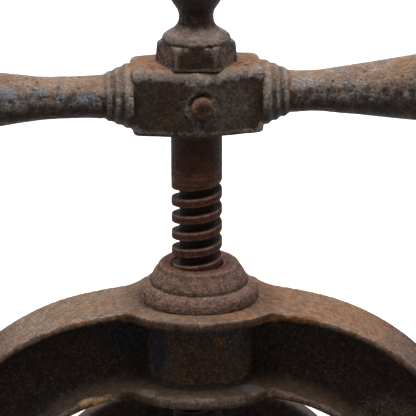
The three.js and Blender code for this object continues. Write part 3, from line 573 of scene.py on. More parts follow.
class Trees:
    """The Geometry Nodes trees that the pieces share, each built once."""

    def __init__(self) -> None:
        """Builds every tree."""
        self.skin = self._skin()
        self.marks = self._marks()
        self.thread = self._thread()
        self.ring = self._ring()
        self.corners = self._corners()

    @staticmethod
    def _blurred(sheet: Sheet, value: NodeSocket, rounds: object, kind: str = "FLOAT_VECTOR") -> NodeSocket:
        """A value evened out over the surface, in a number of rounds."""
        values = {"Value": value, "Iterations": rounds}
        return sheet.node("GeometryNodeBlurAttribute", values, data_type=kind).outputs[0]

    @classmethod
    def _skin(cls) -> NodeTree:
        """Softens a shape's edges and gives it the slow unevenness of a sand casting.

        Returns:
            The tree.
        """
        inputs = {"Soften": Socket.COUNT} | numbers("Lump Scale", "Lump Height", "Grain Scale", "Grain Height")
        sheet, given, result = shape_tree("cast_skin", inputs)
        place = sheet.node("GeometryNodeInputPosition").outputs[0]
        values = {"Geometry": given["Geometry"], "Position": cls._blurred(sheet, place, given["Soften"])}
        soft = sheet.node("GeometryNodeSetPosition", values)
        rise: object = 0.0
        for kind in ("Lump", "Grain"):
            noise = sheet.noise(given[f"{kind} Scale"], 2.0)
            rise = sheet.plus(rise, sheet.swing(noise, given[f"{kind} Height"]))
        offset = sheet.scaled(sheet.node("GeometryNodeInputNormal").outputs[0], rise)
        moved = sheet.node("GeometryNodeSetPosition", {"Geometry": soft.outputs[0], "Offset": offset})
        return sheet.closed(result, {0: moved.outputs[0]})

    @classmethod
    def _marks(cls) -> NodeTree:
        """Marks how far each point stands out at an edge or lies in a hollow, and gives the finish.

        Returns:
            The tree.
        """
        inputs = {"Edge Rounds": Socket.COUNT, "Hollow Rounds": Socket.COUNT}
        inputs |= numbers("Edge Gain", "Hollow Gain") | {"Finish": Socket.MATERIAL}
        sheet, given, result = shape_tree("wear_marks", inputs)
        place = sheet.node("GeometryNodeInputPosition").outputs[0]
        normal = sheet.node("GeometryNodeInputNormal").outputs[0]
        shape = given["Geometry"]
        for label, sign in (("Edge", 1.0), ("Hollow", -1.0)):
            away = sheet.vector("SUBTRACT", place, cls._blurred(sheet, place, given[f"{label} Rounds"]))
            out = sheet.vector("DOT_PRODUCT", away, normal, 1)
            mark = sheet.times(out, sheet.times(given[f"{label} Gain"], sign), clamp=True)
            values = {"Geometry": shape, "Name": label.lower(), "Value": cls._blurred(sheet, mark, 2, "FLOAT")}
            stored = sheet.node("GeometryNodeStoreNamedAttribute", values, data_type="FLOAT", domain="POINT")
            shape = stored.outputs[0]
        finished = sheet.node("GeometryNodeSetMaterial", {"Geometry": shape, "Material": given["Finish"]})
        return sheet.closed(result, {0: finished.outputs[0]})

    @staticmethod
    def _thread() -> NodeTree:
        """Winds a thread's ridge up a helix about the origin's Z axis.

        Returns:
            The tree.
        """
        inputs = {"Steps": Socket.COUNT, "Profile Steps": Socket.COUNT}
        inputs |= numbers("Bottom", "Turns", "Pitch", "Start Angle", "Middle Radius", "Depth", "Ridge", "Rounding")
        sheet, given, result = shape_tree("square_thread", inputs)
        line = sheet.node("GeometryNodeCurvePrimitiveLine").outputs[0]
        even = sheet.node("GeometryNodeResampleCurve", {"Curve": line, "Count": given["Steps"]}).outputs[0]
        along = sheet.times(sheet.node("GeometryNodeSplineParameter").outputs[0], given["Turns"])
        angle = sheet.plus(sheet.times(along, TURN), given["Start Angle"])
        height = sheet.plus(sheet.times(along, given["Pitch"]), given["Bottom"])
        place = sheet.round_axis(given["Middle Radius"], angle, height)
        helix = sheet.node("GeometryNodeSetPosition", {"Geometry": even, "Position": place}).outputs[0]
        level = sheet.node("GeometryNodeSetCurveNormal", {"Curve": helix}, mode="Z_UP").outputs[0]
        values = {"Width": given["Depth"], "Height": given["Ridge"]}
        section = sheet.node("GeometryNodeCurvePrimitiveQuadrilateral", values).outputs[0]
        values = {"Curve": section, "Radius": given["Rounding"], "Count": 3}
        soft = sheet.node("GeometryNodeFilletCurve", values, mode="POLY").outputs[0]
        fine = sheet.node("GeometryNodeResampleCurve", {"Curve": soft, "Count": given["Profile Steps"]}).outputs[0]
        values = {"Curve": level, "Profile Curve": fine, "Fill Caps": True}
        ridge = sheet.node("GeometryNodeCurveToMesh", values).outputs[0]
        whole = sheet.node("GeometryNodeJoinGeometry", {"Geometry": ridge})
        sheet.feed(whole, {0: given["Geometry"]})
        return sheet.closed(result, {0: whole.outputs[0]})

    @staticmethod
    def _set_copies(sheet: Sheet, given: Outputs, result: Node, spots: NodeSocket, turn: NodeSocket) -> NodeTree:
        """Ends a tree with copies of its part on points, turned about Z, made real and given their finish.

        Args:
            sheet: the tree's sheet.
            given: what goes in.
            result: the output node.
            spots: the points.
            turn: each copy's turn, in radians.

        Returns:
            The tree.
        """
        part = sheet.node("GeometryNodeObjectInfo", {"Object": given["Part"]}).outputs["Geometry"]
        values = {"Points": spots, "Instance": part, "Rotation": sheet.joined(z=turn)}
        copies = sheet.node("GeometryNodeInstanceOnPoints", values).outputs[0]
        real = sheet.node("GeometryNodeRealizeInstances", {"Geometry": copies}).outputs[0]
        finished = sheet.node("GeometryNodeSetMaterial", {"Geometry": real, "Material": given["Finish"]})
        return sheet.closed(result, {0: finished.outputs[0]})

    @classmethod
    def _ring(cls) -> NodeTree:
        """Sets copies of a part round the origin's Z axis, in rows one above another.

        Returns:
            The tree.
        """
        inputs = {"Part": Socket.OBJECT, "Count": Socket.COUNT, "Rows": Socket.COUNT}
        inputs |= numbers("Radius", "First Turn", "Row Rise") | {"Finish": Socket.MATERIAL}
        sheet, given, result = shape_tree("set_round", inputs)
        line = sheet.node("GeometryNodeMeshLine", {"Count": sheet.times(given["Count"], given["Rows"])}).outputs[0]
        index = sheet.node("GeometryNodeInputIndex").outputs[0]
        row = sheet.math("FLOOR", sheet.math("DIVIDE", sheet.plus(index, 0.5), given["Count"]))
        step = sheet.less(index, sheet.times(row, given["Count"]))
        angle = sheet.plus(sheet.math("DIVIDE", sheet.times(step, TURN), given["Count"]), given["First Turn"])
        place = sheet.round_axis(given["Radius"], angle, sheet.times(row, given["Row Rise"]))
        spots = sheet.node("GeometryNodeSetPosition", {"Geometry": line, "Position": place}).outputs[0]
        return cls._set_copies(sheet, given, result, spots, angle)

    @classmethod
    def _corners(cls) -> NodeTree:
        """Sets a part at the four corners of a rectangle, each turned by its own small angle.

        Returns:
            The tree.
        """
        inputs = {"Part": Socket.OBJECT} | numbers("Width", "Depth", "Turn Step") | {"Finish": Socket.MATERIAL}
        sheet, given, result = shape_tree("set_at_corners", inputs)
        values = {"Size X": given["Width"], "Size Y": given["Depth"], "Vertices X": 2, "Vertices Y": 2}
        spots = sheet.node("GeometryNodeMeshGrid", values).outputs[0]
        turn = sheet.times(sheet.node("GeometryNodeInputIndex").outputs[0], given["Turn Step"])
        return cls._set_copies(sheet, given, result, spots, turn)


TREES = Trees()


def roughened(piece: Object, soften: int, lump: tuple[float, float], grain: tuple[float, float]) -> None:
    """Puts the uneven skin on a piece.

    Args:
        piece: the piece.
        soften: rounds by which its edges are softened.
        lump: scale, per metre, and height, in millimetres, of the slow unevenness.
        grain: the same of the fine one.
    """
    values = {"Soften": soften, "Lump Scale": lump[0], "Lump Height": lump[1] * MM}
    values |= {"Grain Scale": grain[0], "Grain Height": grain[1] * MM}
    Recipe(TREES.skin, values).put_on(piece)


@dataclass(frozen=True)
class Casting:
    """How a rough casting is made from its plain shells. Lengths are in millimetres."""

    voxel: float = 1.0
    soften: int = 3
    lump: float = 0.5
    lump_size: float = 14.0
    grain: float = 0.22
    grain_size: float = 3.6
    edge_rounds: int = 5
    edge_gain: float = 3.2
    hollow_rounds: int = 26
    hollow_gain: float = 0.9
    triangles: int = 180000

    def remeshed(self, rough: Object, name: str) -> Object:
        """One even skin round all the shells of an object.

        Args:
            rough: the object; it is removed.
            name: the result's name.

        Returns:
            The object with its skin.
        """
        remesh = rough.modifiers.new("remesh", "REMESH")
        remesh.mode = "VOXEL"
        remesh.voxel_size = self.voxel * MM
        return baked(rough, name)

    def cast(
        self, name: str, shells: Sequence[Shell], finish: Material, cutters: Sequence[Object] = (),
        late: Sequence[Shell] = ()
    ) -> Object:
        """Makes the casting.

        Args:
            name: the piece's name.
            shells: shells that overlap and grow together.
            finish: its material.
            cutters: objects that are cut away from them, and then removed.
            late: shells that are added after the cut.

        Returns:
            The finished piece.
        """
        piece = self.remeshed(object_from(name, shells), name)
        for cutter in cutters:
            difference = piece.modifiers.new("cut", "BOOLEAN")
            difference.solver = "MANIFOLD"
            difference.operation = "DIFFERENCE"
            difference.object = cutter
        if cutters:
            piece = baked(piece, name)
            for cutter in cutters:
                bpy.data.objects.remove(cutter)
        if cutters or late:
            if late:
                piece = merged(name, [piece, object_from(f"{name}_late", late)])
            piece = self.remeshed(piece, name)
        lump, grain = (1 / (self.lump_size * MM), self.lump), (1 / (self.grain_size * MM), self.grain)
        roughened(piece, self.soften, lump, grain)
        count = 2 * len(piece.data.polygons)
        if count > self.triangles:
            fewer = piece.modifiers.new("fewer", "DECIMATE")
            fewer.ratio = self.triangles / count
        return self.marked(piece, name, finish)

    def marked(self, piece: Object, name: str, finish: Material) -> Object:
        """Adds the marks that the finish reads, and the finish.

        Args:
            piece: the shape; it is removed.
            name: the result's name.
            finish: the material.

        Returns:
            The finished piece.
        """
        values = {"Edge Rounds": self.edge_rounds, "Edge Gain": self.edge_gain / MM, "Finish": finish}
        values |= {"Hollow Rounds": self.hollow_rounds, "Hollow Gain": self.hollow_gain / MM}
        Recipe(TREES.marks, values).put_on(piece)
        piece = baked(piece, name)
        piece.data.shade_smooth()
        return piece


def merged(name: str, parts: Sequence[Object]) -> Object:
    """One object that holds the meshes of several, which are removed.

    Args:
        name: the new object's name.
        parts: the objects that it takes in.

    Returns:
        The new object.
    """
    work = bmesh.new()
    for part in parts:
        work.from_mesh(part.data)
    mesh = bpy.data.meshes.new(name)
    work.to_mesh(mesh)
    work.free()
    for face in mesh.polygons:
        face.material_index = 0
    mesh.materials.clear()
    finishes = [material for part in parts for material in part.data.materials if material]
    if finishes:
        mesh.materials.append(finishes[0])
    for part in parts:
        bpy.data.objects.remove(part)
    mesh.shade_smooth()
    return linked(name, mesh)


def set_down(piece: Object, body: Body, slot: str, *nodes: str) -> None:
    """Rides a finished piece on its body, hides the nodes that it stands for, and reports it.

    Args:
        piece: the finished object.
        body: the body that carries it.
        slot: not used.
        nodes: the frame's nodes that it replaces.
    """
    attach(piece, body.value)
    if nodes:
        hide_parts(*nodes)
    log.info("%s rides on %s with %d faces", piece.name, body.value, len(piece.data.polygons))


# Finishes


class Effects:
    """Shader groups that the finishes share, each built once. Scales are per metre."""

    def __init__(self) -> None:
        """Builds every group."""
        self.stain = self._stain()
        self.dust = self._dust()
        self.wear = self._wear()
        self.grain = self._grain()

    @staticmethod
    def _group(name: str, takes: Sequence[str], gives: Sequence[str]) -> tuple[Sheet, Outputs, Node]:
        """An empty shader group that takes a vector and numbers, and gives numbers."""
        return new_tree("ShaderNodeTree", name, {"Vector": Socket.VECTOR} | numbers(*takes), numbers(*gives))

    @classmethod
    def _stain(cls) -> NodeTree:
        """Irregular patches: the mask is 1 inside them. They cover little at a spread of 0 and much at 1.

        Returns:
            The group.
        """
        sheet, given, result = cls._group("stain", ("Scale", "Spread", "Softness"), ("Mask",))
        noise = sheet.noise(given["Scale"], 6.0, 0.62, Vector=given["Vector"], Distortion=0.35)
        middle = sheet.less(0.72, sheet.times(given["Spread"], 0.44))
        low, high = sheet.less(middle, given["Softness"]), sheet.plus(middle, given["Softness"])
        return sheet.closed(result, {"Mask": sheet.ramp(noise, low, high)})

    @classmethod
    def _dust(cls) -> NodeTree:
        """A pale, dusty coat with painted top light on what faces up, and a dirty coat with painted shade on what faces
        down, both broken up by a fine noise.

        Returns:
            The group.
        """
        sheet, given, result = cls._group("dust", ("Low", "High"), ("Dust", "Dirt"))
        up = sheet.parts(sheet.node("ShaderNodeTexCoord").outputs["Normal"])[2]
        noise = sheet.noise(260.0, 5.0, 0.7, Vector=given["Vector"])
        uneven = sheet.plus(up, sheet.swing(noise, 0.5))
        # Upward faces: the dusty coat and painted top light. Downward faces: the dirty coat and painted shade.
        dust, dirt_and_shade = sheet.ramp(uneven, given["Low"], given["High"]), sheet.ramp(uneven, 0.1, -0.55)
        return sheet.closed(result, {"Dust": dust, "Dirt": dirt_and_shade})

    @classmethod
    def _wear(cls) -> NodeTree:
        """Worn edges, their bare arrises, and grimy hollows darkened further by painted shade, from the marks on the
        piece.

        Returns:
            The group.
        """
        sheet, given, result = cls._group("wear", (), ("Edge", "Arris", "Hollow"))
        noise = sheet.noise(420.0, 5.0, 0.65, Vector=given["Vector"])
        for mark, unevenness, masks in (
            ("edge", 0.22, {"Edge": (0.08, 0.36), "Arris": (0.42, 0.78)}),
            ("hollow", 0.4, {"Hollow": (0.12, 0.75)}),
        ):
            stored = sheet.node("ShaderNodeAttribute", attribute_name=mark).outputs["Fac"]
            broken = sheet.plus(stored, sheet.swing(noise, unevenness))
            sheet.feed(result, {name: sheet.ramp(broken, *limits) for name, limits in masks.items()})
        return sheet.tree

    @classmethod
    def _grain(cls) -> NodeTree:
        """The height of a sand-cast surface with rust pits, and its fine change of tone.

        Returns:
            The group.
        """
        sheet, given, result = cls._group("grain", ("Grain", "Pits", "Pit Depth"), ("Height", "Tone", "Pit"))
        where = given["Vector"]
        fine = sheet.noise(given["Grain"], 5.0, 0.7, Vector=where)
        slow = sheet.noise(sheet.times(given["Grain"], 0.3), 4.0, 0.6, Vector=where)
        broad = sheet.plus(
            sheet.times(sheet.ramp(fine, 0.36, 0.64), 0.55), sheet.times(sheet.ramp(slow, 0.34, 0.66), 0.45),
        )
        values = {"Vector": where, "Scale": given["Pits"]}
        cells = sheet.node("ShaderNodeTexVoronoi", values, feature="SMOOTH_F1").outputs["Distance"]
        rare = sheet.noise(sheet.times(given["Pits"], 0.22), 3.0, Vector=where)
        pit = sheet.times(sheet.ramp(cells, 0.34, 0.12), sheet.ramp(rare, 0.46, 0.62))
        height = sheet.less(broad, sheet.times(pit, given["Pit Depth"]))
        return sheet.closed(result, {"Height": height, "Tone": sheet.ramp(broad, 0.12, 0.88), "Pit": pit})


EFFECTS = Effects()


@dataclass(frozen=True)
class Ring:
    """A ring round the screw's axis, greasy on the castings and darker at the screw's core: how far it reaches, above
    what height, and its colour.
    """

    radius: float
    above: float
    colour: Colour
    softness: float = 5.0
    broken: float = 0.35


@dataclass(frozen=True)
class Patch:
    """A spot laid on by position, rubbed or rusty, or a painted highlight, reflection or light: its middle, its reach
    along each axis and its colour.

    Its middle is measured from the screw's axis, and upwards from its finish's level.

    One that lies under the wear is laid on before the hollows and the edges.
    """

    middle: tuple[float, float, float]
    reach: tuple[float, float, float]
    colour: Colour
    share: float = 0.85
    under: bool = False


@dataclass(frozen=True)
class Breakup:
    """How a stain is broken up: its scale per metre, how far it spreads, its softness and its share."""

    scale: float
    spread: float
    softness: float
    share: float = 1.0


SECOND_TONE = Breakup(48.0, 0.5, 0.12)
SECOND_DUST_AND_TOP_LIGHT = Breakup(85.0, 0.5, 0.14)
PATINA_SPECKLE = Breakup(620.0, 0.42, 0.1, 0.75)
EDGE_GAPS = Breakup(60.0, 0.4, 0.15, 0.4)


def blank_material(name: str) -> tuple[Material, Sheet]:
    """A material with an empty sheet.

    Args:
        name: the material's name.

    Returns:
        The material and its sheet.
    """
    made = bpy.data.materials.new(name)
    made.use_nodes = True
    made.node_tree.nodes.clear()
    return made, Sheet(made.node_tree)


class Brush:
    """Lays a finish on in coats, one over another."""

    dust_and_top_light_fade: float = 8.0  # half of the height, in millimetres, over which the dusty coat and its painted top light thin out
    faint_dust_and_top_light: float = 0.16  # what is left of it below
    patina_fade: float = 16.0  # the length, in millimetres, over which patina comes in
    dull_below: float = 0.85  # how far the dirty coat and its painted shade hide worn edges
    gloss_swing: float = 0.12  # how far gloss follows the tone

    def __init__(self, finish: "IronFinish") -> None:
        """Starts a finish's material and places the shared groups in it.

        Args:
            finish: the finish that is laid on.
        """
        self.finish = finish
        self.material, self.sheet = blank_material(finish.name)
        self.where = self.sheet.node("ShaderNodeTexCoord").outputs["Object"]
        self.drawn = self.sheet.vector("MULTIPLY", self.where, (1.0, 1.0, finish.streak))
        self.across, _, self.height = self.sheet.parts(self.where)
        # Masks of the dusty coat with painted top light, and of the dirty coat with painted shade.
        dust = self._group(EFFECTS.dust, {"Low": finish.dust_and_top_light_from, "High": finish.dust_and_top_light_to})
        self.dust, self.dirt_and_shade = dust["Dust"], dust["Dirt"]
        self.wear = self._group(EFFECTS.wear, {})
        values = {"Grain": finish.grain, "Pits": finish.pits, "Pit Depth": finish.pit_depth}
        self.grain = self._group(EFFECTS.grain, values)
        self.colour = self.sheet.mix(self._stain(SECOND_TONE), finish.body, finish.second)

    def _group(self, tree: NodeTree, values: dict[str, object]) -> Outputs:
        """Places a shared group, on the object's own coordinates unless the values give others.

        Args:
            tree: the group.
            values: its inputs.

        Returns:
            What comes out, by name.
        """
        placed = self.sheet.node("ShaderNodeGroup", node_tree=tree)
        self.sheet.feed(placed, {"Vector": self.where} | values)
        return placed.outputs

    def _stain(self, breakup: Breakup) -> NodeSocket:
        """Patches of one size, laid on by a share.

        Args:
            breakup: their size, spread, softness and share.

        Returns:
            The mask.
        """
        values = {"Scale": breakup.scale, "Spread": breakup.spread, "Softness": breakup.softness}
        mask = self._group(EFFECTS.stain, {"Vector": self.drawn} | values)["Mask"]
        return self.sheet.times(mask, breakup.share)

    def _coat(self, mask: NodeSocket, colour: object) -> None:
        """Lays a colour on by a mask."""
        self.colour = self.sheet.mix(mask, self.colour, colour)

    def rust_and_lit_dust(self) -> None:
        """Rust in stains, and a dusty coat of two tones with painted top light on what faces up."""
        finish, sheet = self.finish, self.sheet
        self._coat(self._stain(Breakup(105.0, finish.rust_spread, 0.09, finish.rust_share)), finish.rust)
        second = sheet.plus(self._stain(SECOND_DUST_AND_TOP_LIGHT), sheet.times(self.across, finish.dust_and_top_light_drift), clamp=True)
        cover = sheet.times(self.dust, finish.dust_and_top_light_share)
        # Below this height the coat thins out: a less dusty surface, and painted shade.
        if finish.dust_and_top_light_above:
            low, high = finish.dust_and_top_light_above - self.dust_and_top_light_fade, finish.dust_and_top_light_above + self.dust_and_top_light_fade
            above = sheet.ramp(self.height, low * MM, high * MM)
            cover = sheet.times(cover, sheet.plus(self.faint_dust_and_top_light, sheet.times(above, 1 - self.faint_dust_and_top_light)))
        self._coat(cover, sheet.mix(second, finish.dust, finish.dust_and_top_light_second))

    def patina_and_shaded_dirt(self) -> None:
        """Bare patina where hands rub, less of it under the dusty coat, and a dirty coat with painted shade on what
        faces down.
        """
        finish, sheet = self.finish, self.sheet
        half_up = sheet.less(sheet.less(1.0, self.dirt_and_shade), sheet.times(self.dust, 0.35))
        stain = self._stain(Breakup(finish.patina_scale, finish.patina_spread, 0.045, finish.patina_share))
        thin = sheet.times(sheet.times(stain, half_up), sheet.less(1.0, self._stain(PATINA_SPECKLE)))
        if finish.patina_from:
            limits = finish.patina_from * MM, (finish.patina_from + self.patina_fade) * MM
            thin = sheet.times(thin, sheet.ramp(sheet.math("ABSOLUTE", self.across), *limits))
        self._coat(thin, finish.patina)
        # The dirty coat and painted shade on what faces down.
        self._coat(sheet.times(self.dirt_and_shade, finish.dirt_and_shade_share), finish.grime_and_shade)

    def tinted_ring(self, ring: Ring, breakup: Breakup) -> None:
        """A ring round the screw's axis in its own colour: greasy and rusty on the castings, darker at the core between
        the screw's ridges.

        Args:
            ring: its reach, height and colour.
            breakup: the stain that breaks it up.
        """
        sheet, soft = self.sheet, ring.softness
        x, y, above = sheet.parts(sheet.vector("SUBTRACT", self.where, (0.0, DATUM.axis_y * MM, ring.above * MM)))
        near = sheet.ramp(sheet.length(sheet.joined(x, y)), (ring.radius + soft) * MM, (ring.radius - soft) * MM)
        high = sheet.ramp(above, -soft / 2 * MM, 0.0)
        self._coat(sheet.less(sheet.times(near, high), self._stain(breakup), clamp=True), ring.colour)

    def spots(self, under: bool) -> None:
        """The finish's patches that lie under the wear, or those that cover it.

        Args:
            under: whether those under the wear are laid on.
        """
        sheet = self.sheet
        spread, softness = (0.9, 0.2) if under else (0.75, 0.15)
        for patch in self.finish.patches:
            if patch.under != under:
                continue
            x, y, z = patch.middle
            middle = (x * MM, (y + DATUM.axis_y) * MM, (z + self.finish.level) * MM)
            away = sheet.vector("SUBTRACT", self.where, middle)
            shares = sheet.vector("DIVIDE", away, tuple(reach * MM for reach in patch.reach))
            near = sheet.ramp(sheet.length(shares), 1.15, 0.6)
            self._coat(sheet.times(near, self._stain(Breakup(330.0, spread, softness, patch.share))), patch.colour)

    def wear_marks(self) -> None:
        """Grimy hollows with painted shade, rubbed edges and bare arrises."""
        finish, sheet = self.finish, self.sheet
        # Grimy hollows, darkened further as painted shade.
        self._coat(sheet.times(self.wear["Hollow"], finish.hollow_grime_and_shade_share), finish.hollow)
        lit = sheet.less(1.0, sheet.times(self.dirt_and_shade, self.dull_below))
        rim: object = finish.rub
        if finish.ochre_share:
            stain = self._stain(Breakup(34.0, finish.ochre_spread, 0.05, finish.ochre_share))
            rim = sheet.mix(stain, rim, finish.ochre)
        hidden = sheet.times(self.dust, finish.dust_and_top_light_over_rub)
        rubbed = sheet.less(sheet.times(self.wear["Edge"], finish.rub_share), hidden, clamp=True)
        self._coat(sheet.times(rubbed, lit), rim)
        bare = sheet.times(sheet.times(self.wear["Arris"], finish.edge_share), sheet.less(1.0, self._stain(EDGE_GAPS)))
        self._coat(sheet.times(bare, lit), finish.edge)

    def _light(self) -> NodeSocket:
        """How light the colour is drawn: the grain's tone, sides darkened as painted shade, and pale flecks.

        Returns:
            The factor on the colour.
        """
        finish, sheet = self.finish, self.sheet
        contrast = finish.tone_contrast
        swing = sheet.less(contrast, sheet.times(self.dust, contrast * finish.dust_and_top_light_calm))
        light = sheet.plus(1.0, sheet.swing(self.grain["Tone"], swing))
        # Sides drawn darker than what faces up: painted shade.
        facing = sheet.plus(sheet.times(self.dust, 1 - finish.side_shade), finish.side_shade)
        clear = sheet.times(sheet.less(1.0, sheet.times(self.dust, 0.8)), sheet.less(1.0, self.wear["Edge"]))
        fleck = sheet.times(self._stain(Breakup(950.0, finish.fleck_spread, 0.05, finish.fleck_share)), clear)
        if finish.flecks_below:
            below = sheet.ramp(self.height, (finish.flecks_below + 2) * MM, finish.flecks_below * MM)
            fleck = sheet.times(fleck, below)
        return sheet.times(sheet.times(light, facing), sheet.plus(1.0, fleck))

    def dried(self) -> Material:
        """Ends the material with its pits, tone, gloss and bump.

        Returns:
            The material.
        """
        finish, sheet = self.finish, self.sheet
        self._coat(sheet.times(self.grain["Pit"], finish.pit_share), finish.grime_and_shade)
        duller = sheet.times(self.grain["Tone"], self.gloss_swing)
        gloss = sheet.less(finish.roughness + self.gloss_swing / 2, duller, clamp=True)
        bump = sheet.node("ShaderNodeBump", {"Height": self.grain["Height"], "Distance": finish.bump, "Strength": 1.0})
        values = {"Base Color": sheet.scaled(self.colour, self._light()), "Roughness": gloss, "Normal": bump.outputs[0]}
        shader = sheet.node("ShaderNodeBsdfPrincipled", values | {"Specular IOR Level": finish.specular})
        sheet.node("ShaderNodeOutputMaterial", {"Surface": shader.outputs[0]})
        return self.material


@dataclass(frozen=True)
class IronFinish:
    """An old iron surface. Colours are display colours; shares run from 0 to 1."""

    name: str
    body: Colour
    second: Colour
    # This colour darkens rust pits, and the dirty coat that paints shade on what faces down.
    grime_and_shade: Colour
    # Colour of the dusty coat on what faces up, which also paints the light from above.
    dust: Colour
    dust_and_top_light_second: Colour
    rust: Colour
    patina: Colour
    edge: Colour
    ochre: Colour = (133, 92, 48)
    dust_and_top_light_share: float = 0.9
    dust_and_top_light_from: float = 0.35
    dust_and_top_light_to: float = 0.9
    dust_and_top_light_above: float = 0.0
    dirt_and_shade_share: float = 0.6
    rust_spread: float = 0.45
    rust_share: float = 0.6
    patina_spread: float = 0.35
    patina_share: float = 0.7
    patina_scale: float = 70.0
    patina_from: float = 0.0
    edge_share: float = 0.75
    rub: Colour = (96, 78, 66)
    rub_share: float = 0.8
    dust_and_top_light_over_rub: float = 1.0
    # Colour of the hollows: grime, and painted shade.
    hollow: Colour = (24, 20, 18)
    hollow_grime_and_shade_share: float = 0.8
    streak: float = 1.0
    fleck_share: float = 1.2
    fleck_spread: float = 0.16
    flecks_below: float = 0.0
    dust_and_top_light_calm: float = 0.7
    ochre_spread: float = 0.3
    ochre_share: float = 0.0
    tone_contrast: float = 1.1
    # How light the sides are drawn against what faces up: painted shade.
    side_shade: float = 1.0
    grain: float = 760.0
    pits: float = 330.0
    pit_depth: float = 0.6
    pit_share: float = 0.6
    bump: float = 0.0014
    roughness: float = 0.66
    specular: float = 0.3
    dust_and_top_light_drift: float = 0.0
    level: float = 0.0
    rings: tuple[Ring, ...] = ()
    patches: tuple[Patch, ...] = ()
    # A ring that is darker towards the screw's core, between the thread's ridges.
    core: Ring | None = None

    def material(self) -> Material:
        """Draws the finish.

        Returns:
            The material.
        """
        brush = Brush(self)
        brush.rust_and_lit_dust()
        brush.patina_and_shaded_dirt()
        for ring in self.rings:
            brush.tinted_ring(ring, Breakup(400.0, 0.5, 0.2, ring.broken))
        brush.spots(under=True)
        brush.wear_marks()
        brush.spots(under=False)
        # Darker towards the screw's core, between the thread's ridges.
        if self.core:
            brush.tinted_ring(self.core, Breakup(500.0, 0.5, 0.2, 0.15))
        return brush.dried()


# Its first colour darkens rust pits, and the dirty coat that paints shade on what faces down.
BLACK_IRON = {"grime_and_shade": (24, 20, 18), "rust": (70, 42, 31)}

FRAME_IRON = IronFinish(
    "cast_frame", body=(72, 61, 55), second=(82, 67, 60), dirt_and_shade_share=0.3, dust=(186, 158, 138),
    dust_and_top_light_second=(198, 150, 117), patina=(92, 84, 78), edge=(230, 196, 172), edge_share=0.7, rub=(124, 94, 77),
    # Sides are drawn at 0.8 of the light of what faces up: painted shade.
    ochre=(168, 116, 60), side_shade=0.8, dust_and_top_light_calm=0.3, patina_spread=0.3, patina_share=0.12, ochre_spread=0.25,
    ochre_share=0.6, rust_share=0.45, pit_share=0.35, specular=0.12, fleck_share=1.1, fleck_spread=0.34,
    # Below 196 mm the dusty coat thins out: a less dusty surface, and painted shade under the upper flange.
    flecks_below=214.0, dust_and_top_light_above=196.0, dust_and_top_light_drift=6.0, hollow=(44, 41, 35), tone_contrast=0.75, grain=950.0,
    bump=0.0012,
    rings=(
        Ring(radius=27, above=182, colour=(118, 96, 82), softness=2),
        Ring(radius=29, above=219.5, colour=(172, 136, 120), softness=2, broken=0.12),
        Ring(radius=17, above=231, colour=(118, 68, 50)),
    ),
    patches=(
        Patch((1.2, 0, 198), (28, 28, 14), (110, 95, 84), 0.8, under=True),
        # The next two paint a bluish reflection down the barrel's left side and the web beside it.
        Patch((-20, -16, 198), (7, 9, 16), (42, 54, 74), 0.8, under=True),
        Patch((-34, -5, 200), (12, 9, 12), (40, 50, 66), 0.55, under=True),
        Patch((17, -19, 206), (8, 9, 8), (106, 114, 120), 0.6, under=True),
        Patch((3, -25, 190), (14, 6, 10), (106, 68, 57), 0.7, under=True),
        Patch((1.2, 0, 217.6), (39, 39, 2.9), (104, 83, 71), 0.85, under=True),
        # The next three paint light on the lower flange's lip, which the upper flange shades.
        Patch((1.2, -36, 177.4), (36, 10, 4.4), (168, 146, 134), 0.7),
        Patch((-27, -27, 180.6), (9, 7, 2.6), (176, 168, 162), 0.4),
        Patch((27, -22, 181), (7, 6, 3.6), (150, 148, 144), 0.45),
        Patch((44, -19, 176.5), (16, 3.4, 2.4), (176, 148, 132), 0.7),
        Patch((70, -19, 169), (16, 3.4, 4), (150, 128, 116), 0.6),
        Patch((90, -4, 157), (22, 10, 12), (150, 128, 112), 0.5, under=True),
        Patch((104, -6, 193), (17, 26, 12), (160, 134, 118), 0.7, under=True),
        # Painted highlight on the lower flange's front edge, left of the hub.
        Patch((-44.5, -18.5, 171.5), (14, 5, 2.7), (255, 200, 146), 1),
        # Painted highlight on the upper flange's front edge, left of the hub.
        Patch((-55, -18.5, 212.6), (8, 5, 1.2), (222, 168, 130), 0.75),
        Patch((40, -21, 213.6), (24, 9, 2.8), (172, 116, 58)),
        Patch((1.2, 0, 220.2), (29, 29, 1), (40, 38, 33), 0.6),
        Patch((10.5, -23, 205), (3.6, 4, 2.6), (184, 122, 68)),
        Patch((1.2, -35, 219), (24, 7, 3.4), (116, 98, 88), 0.5),
    ),
    **BLACK_IRON,
)
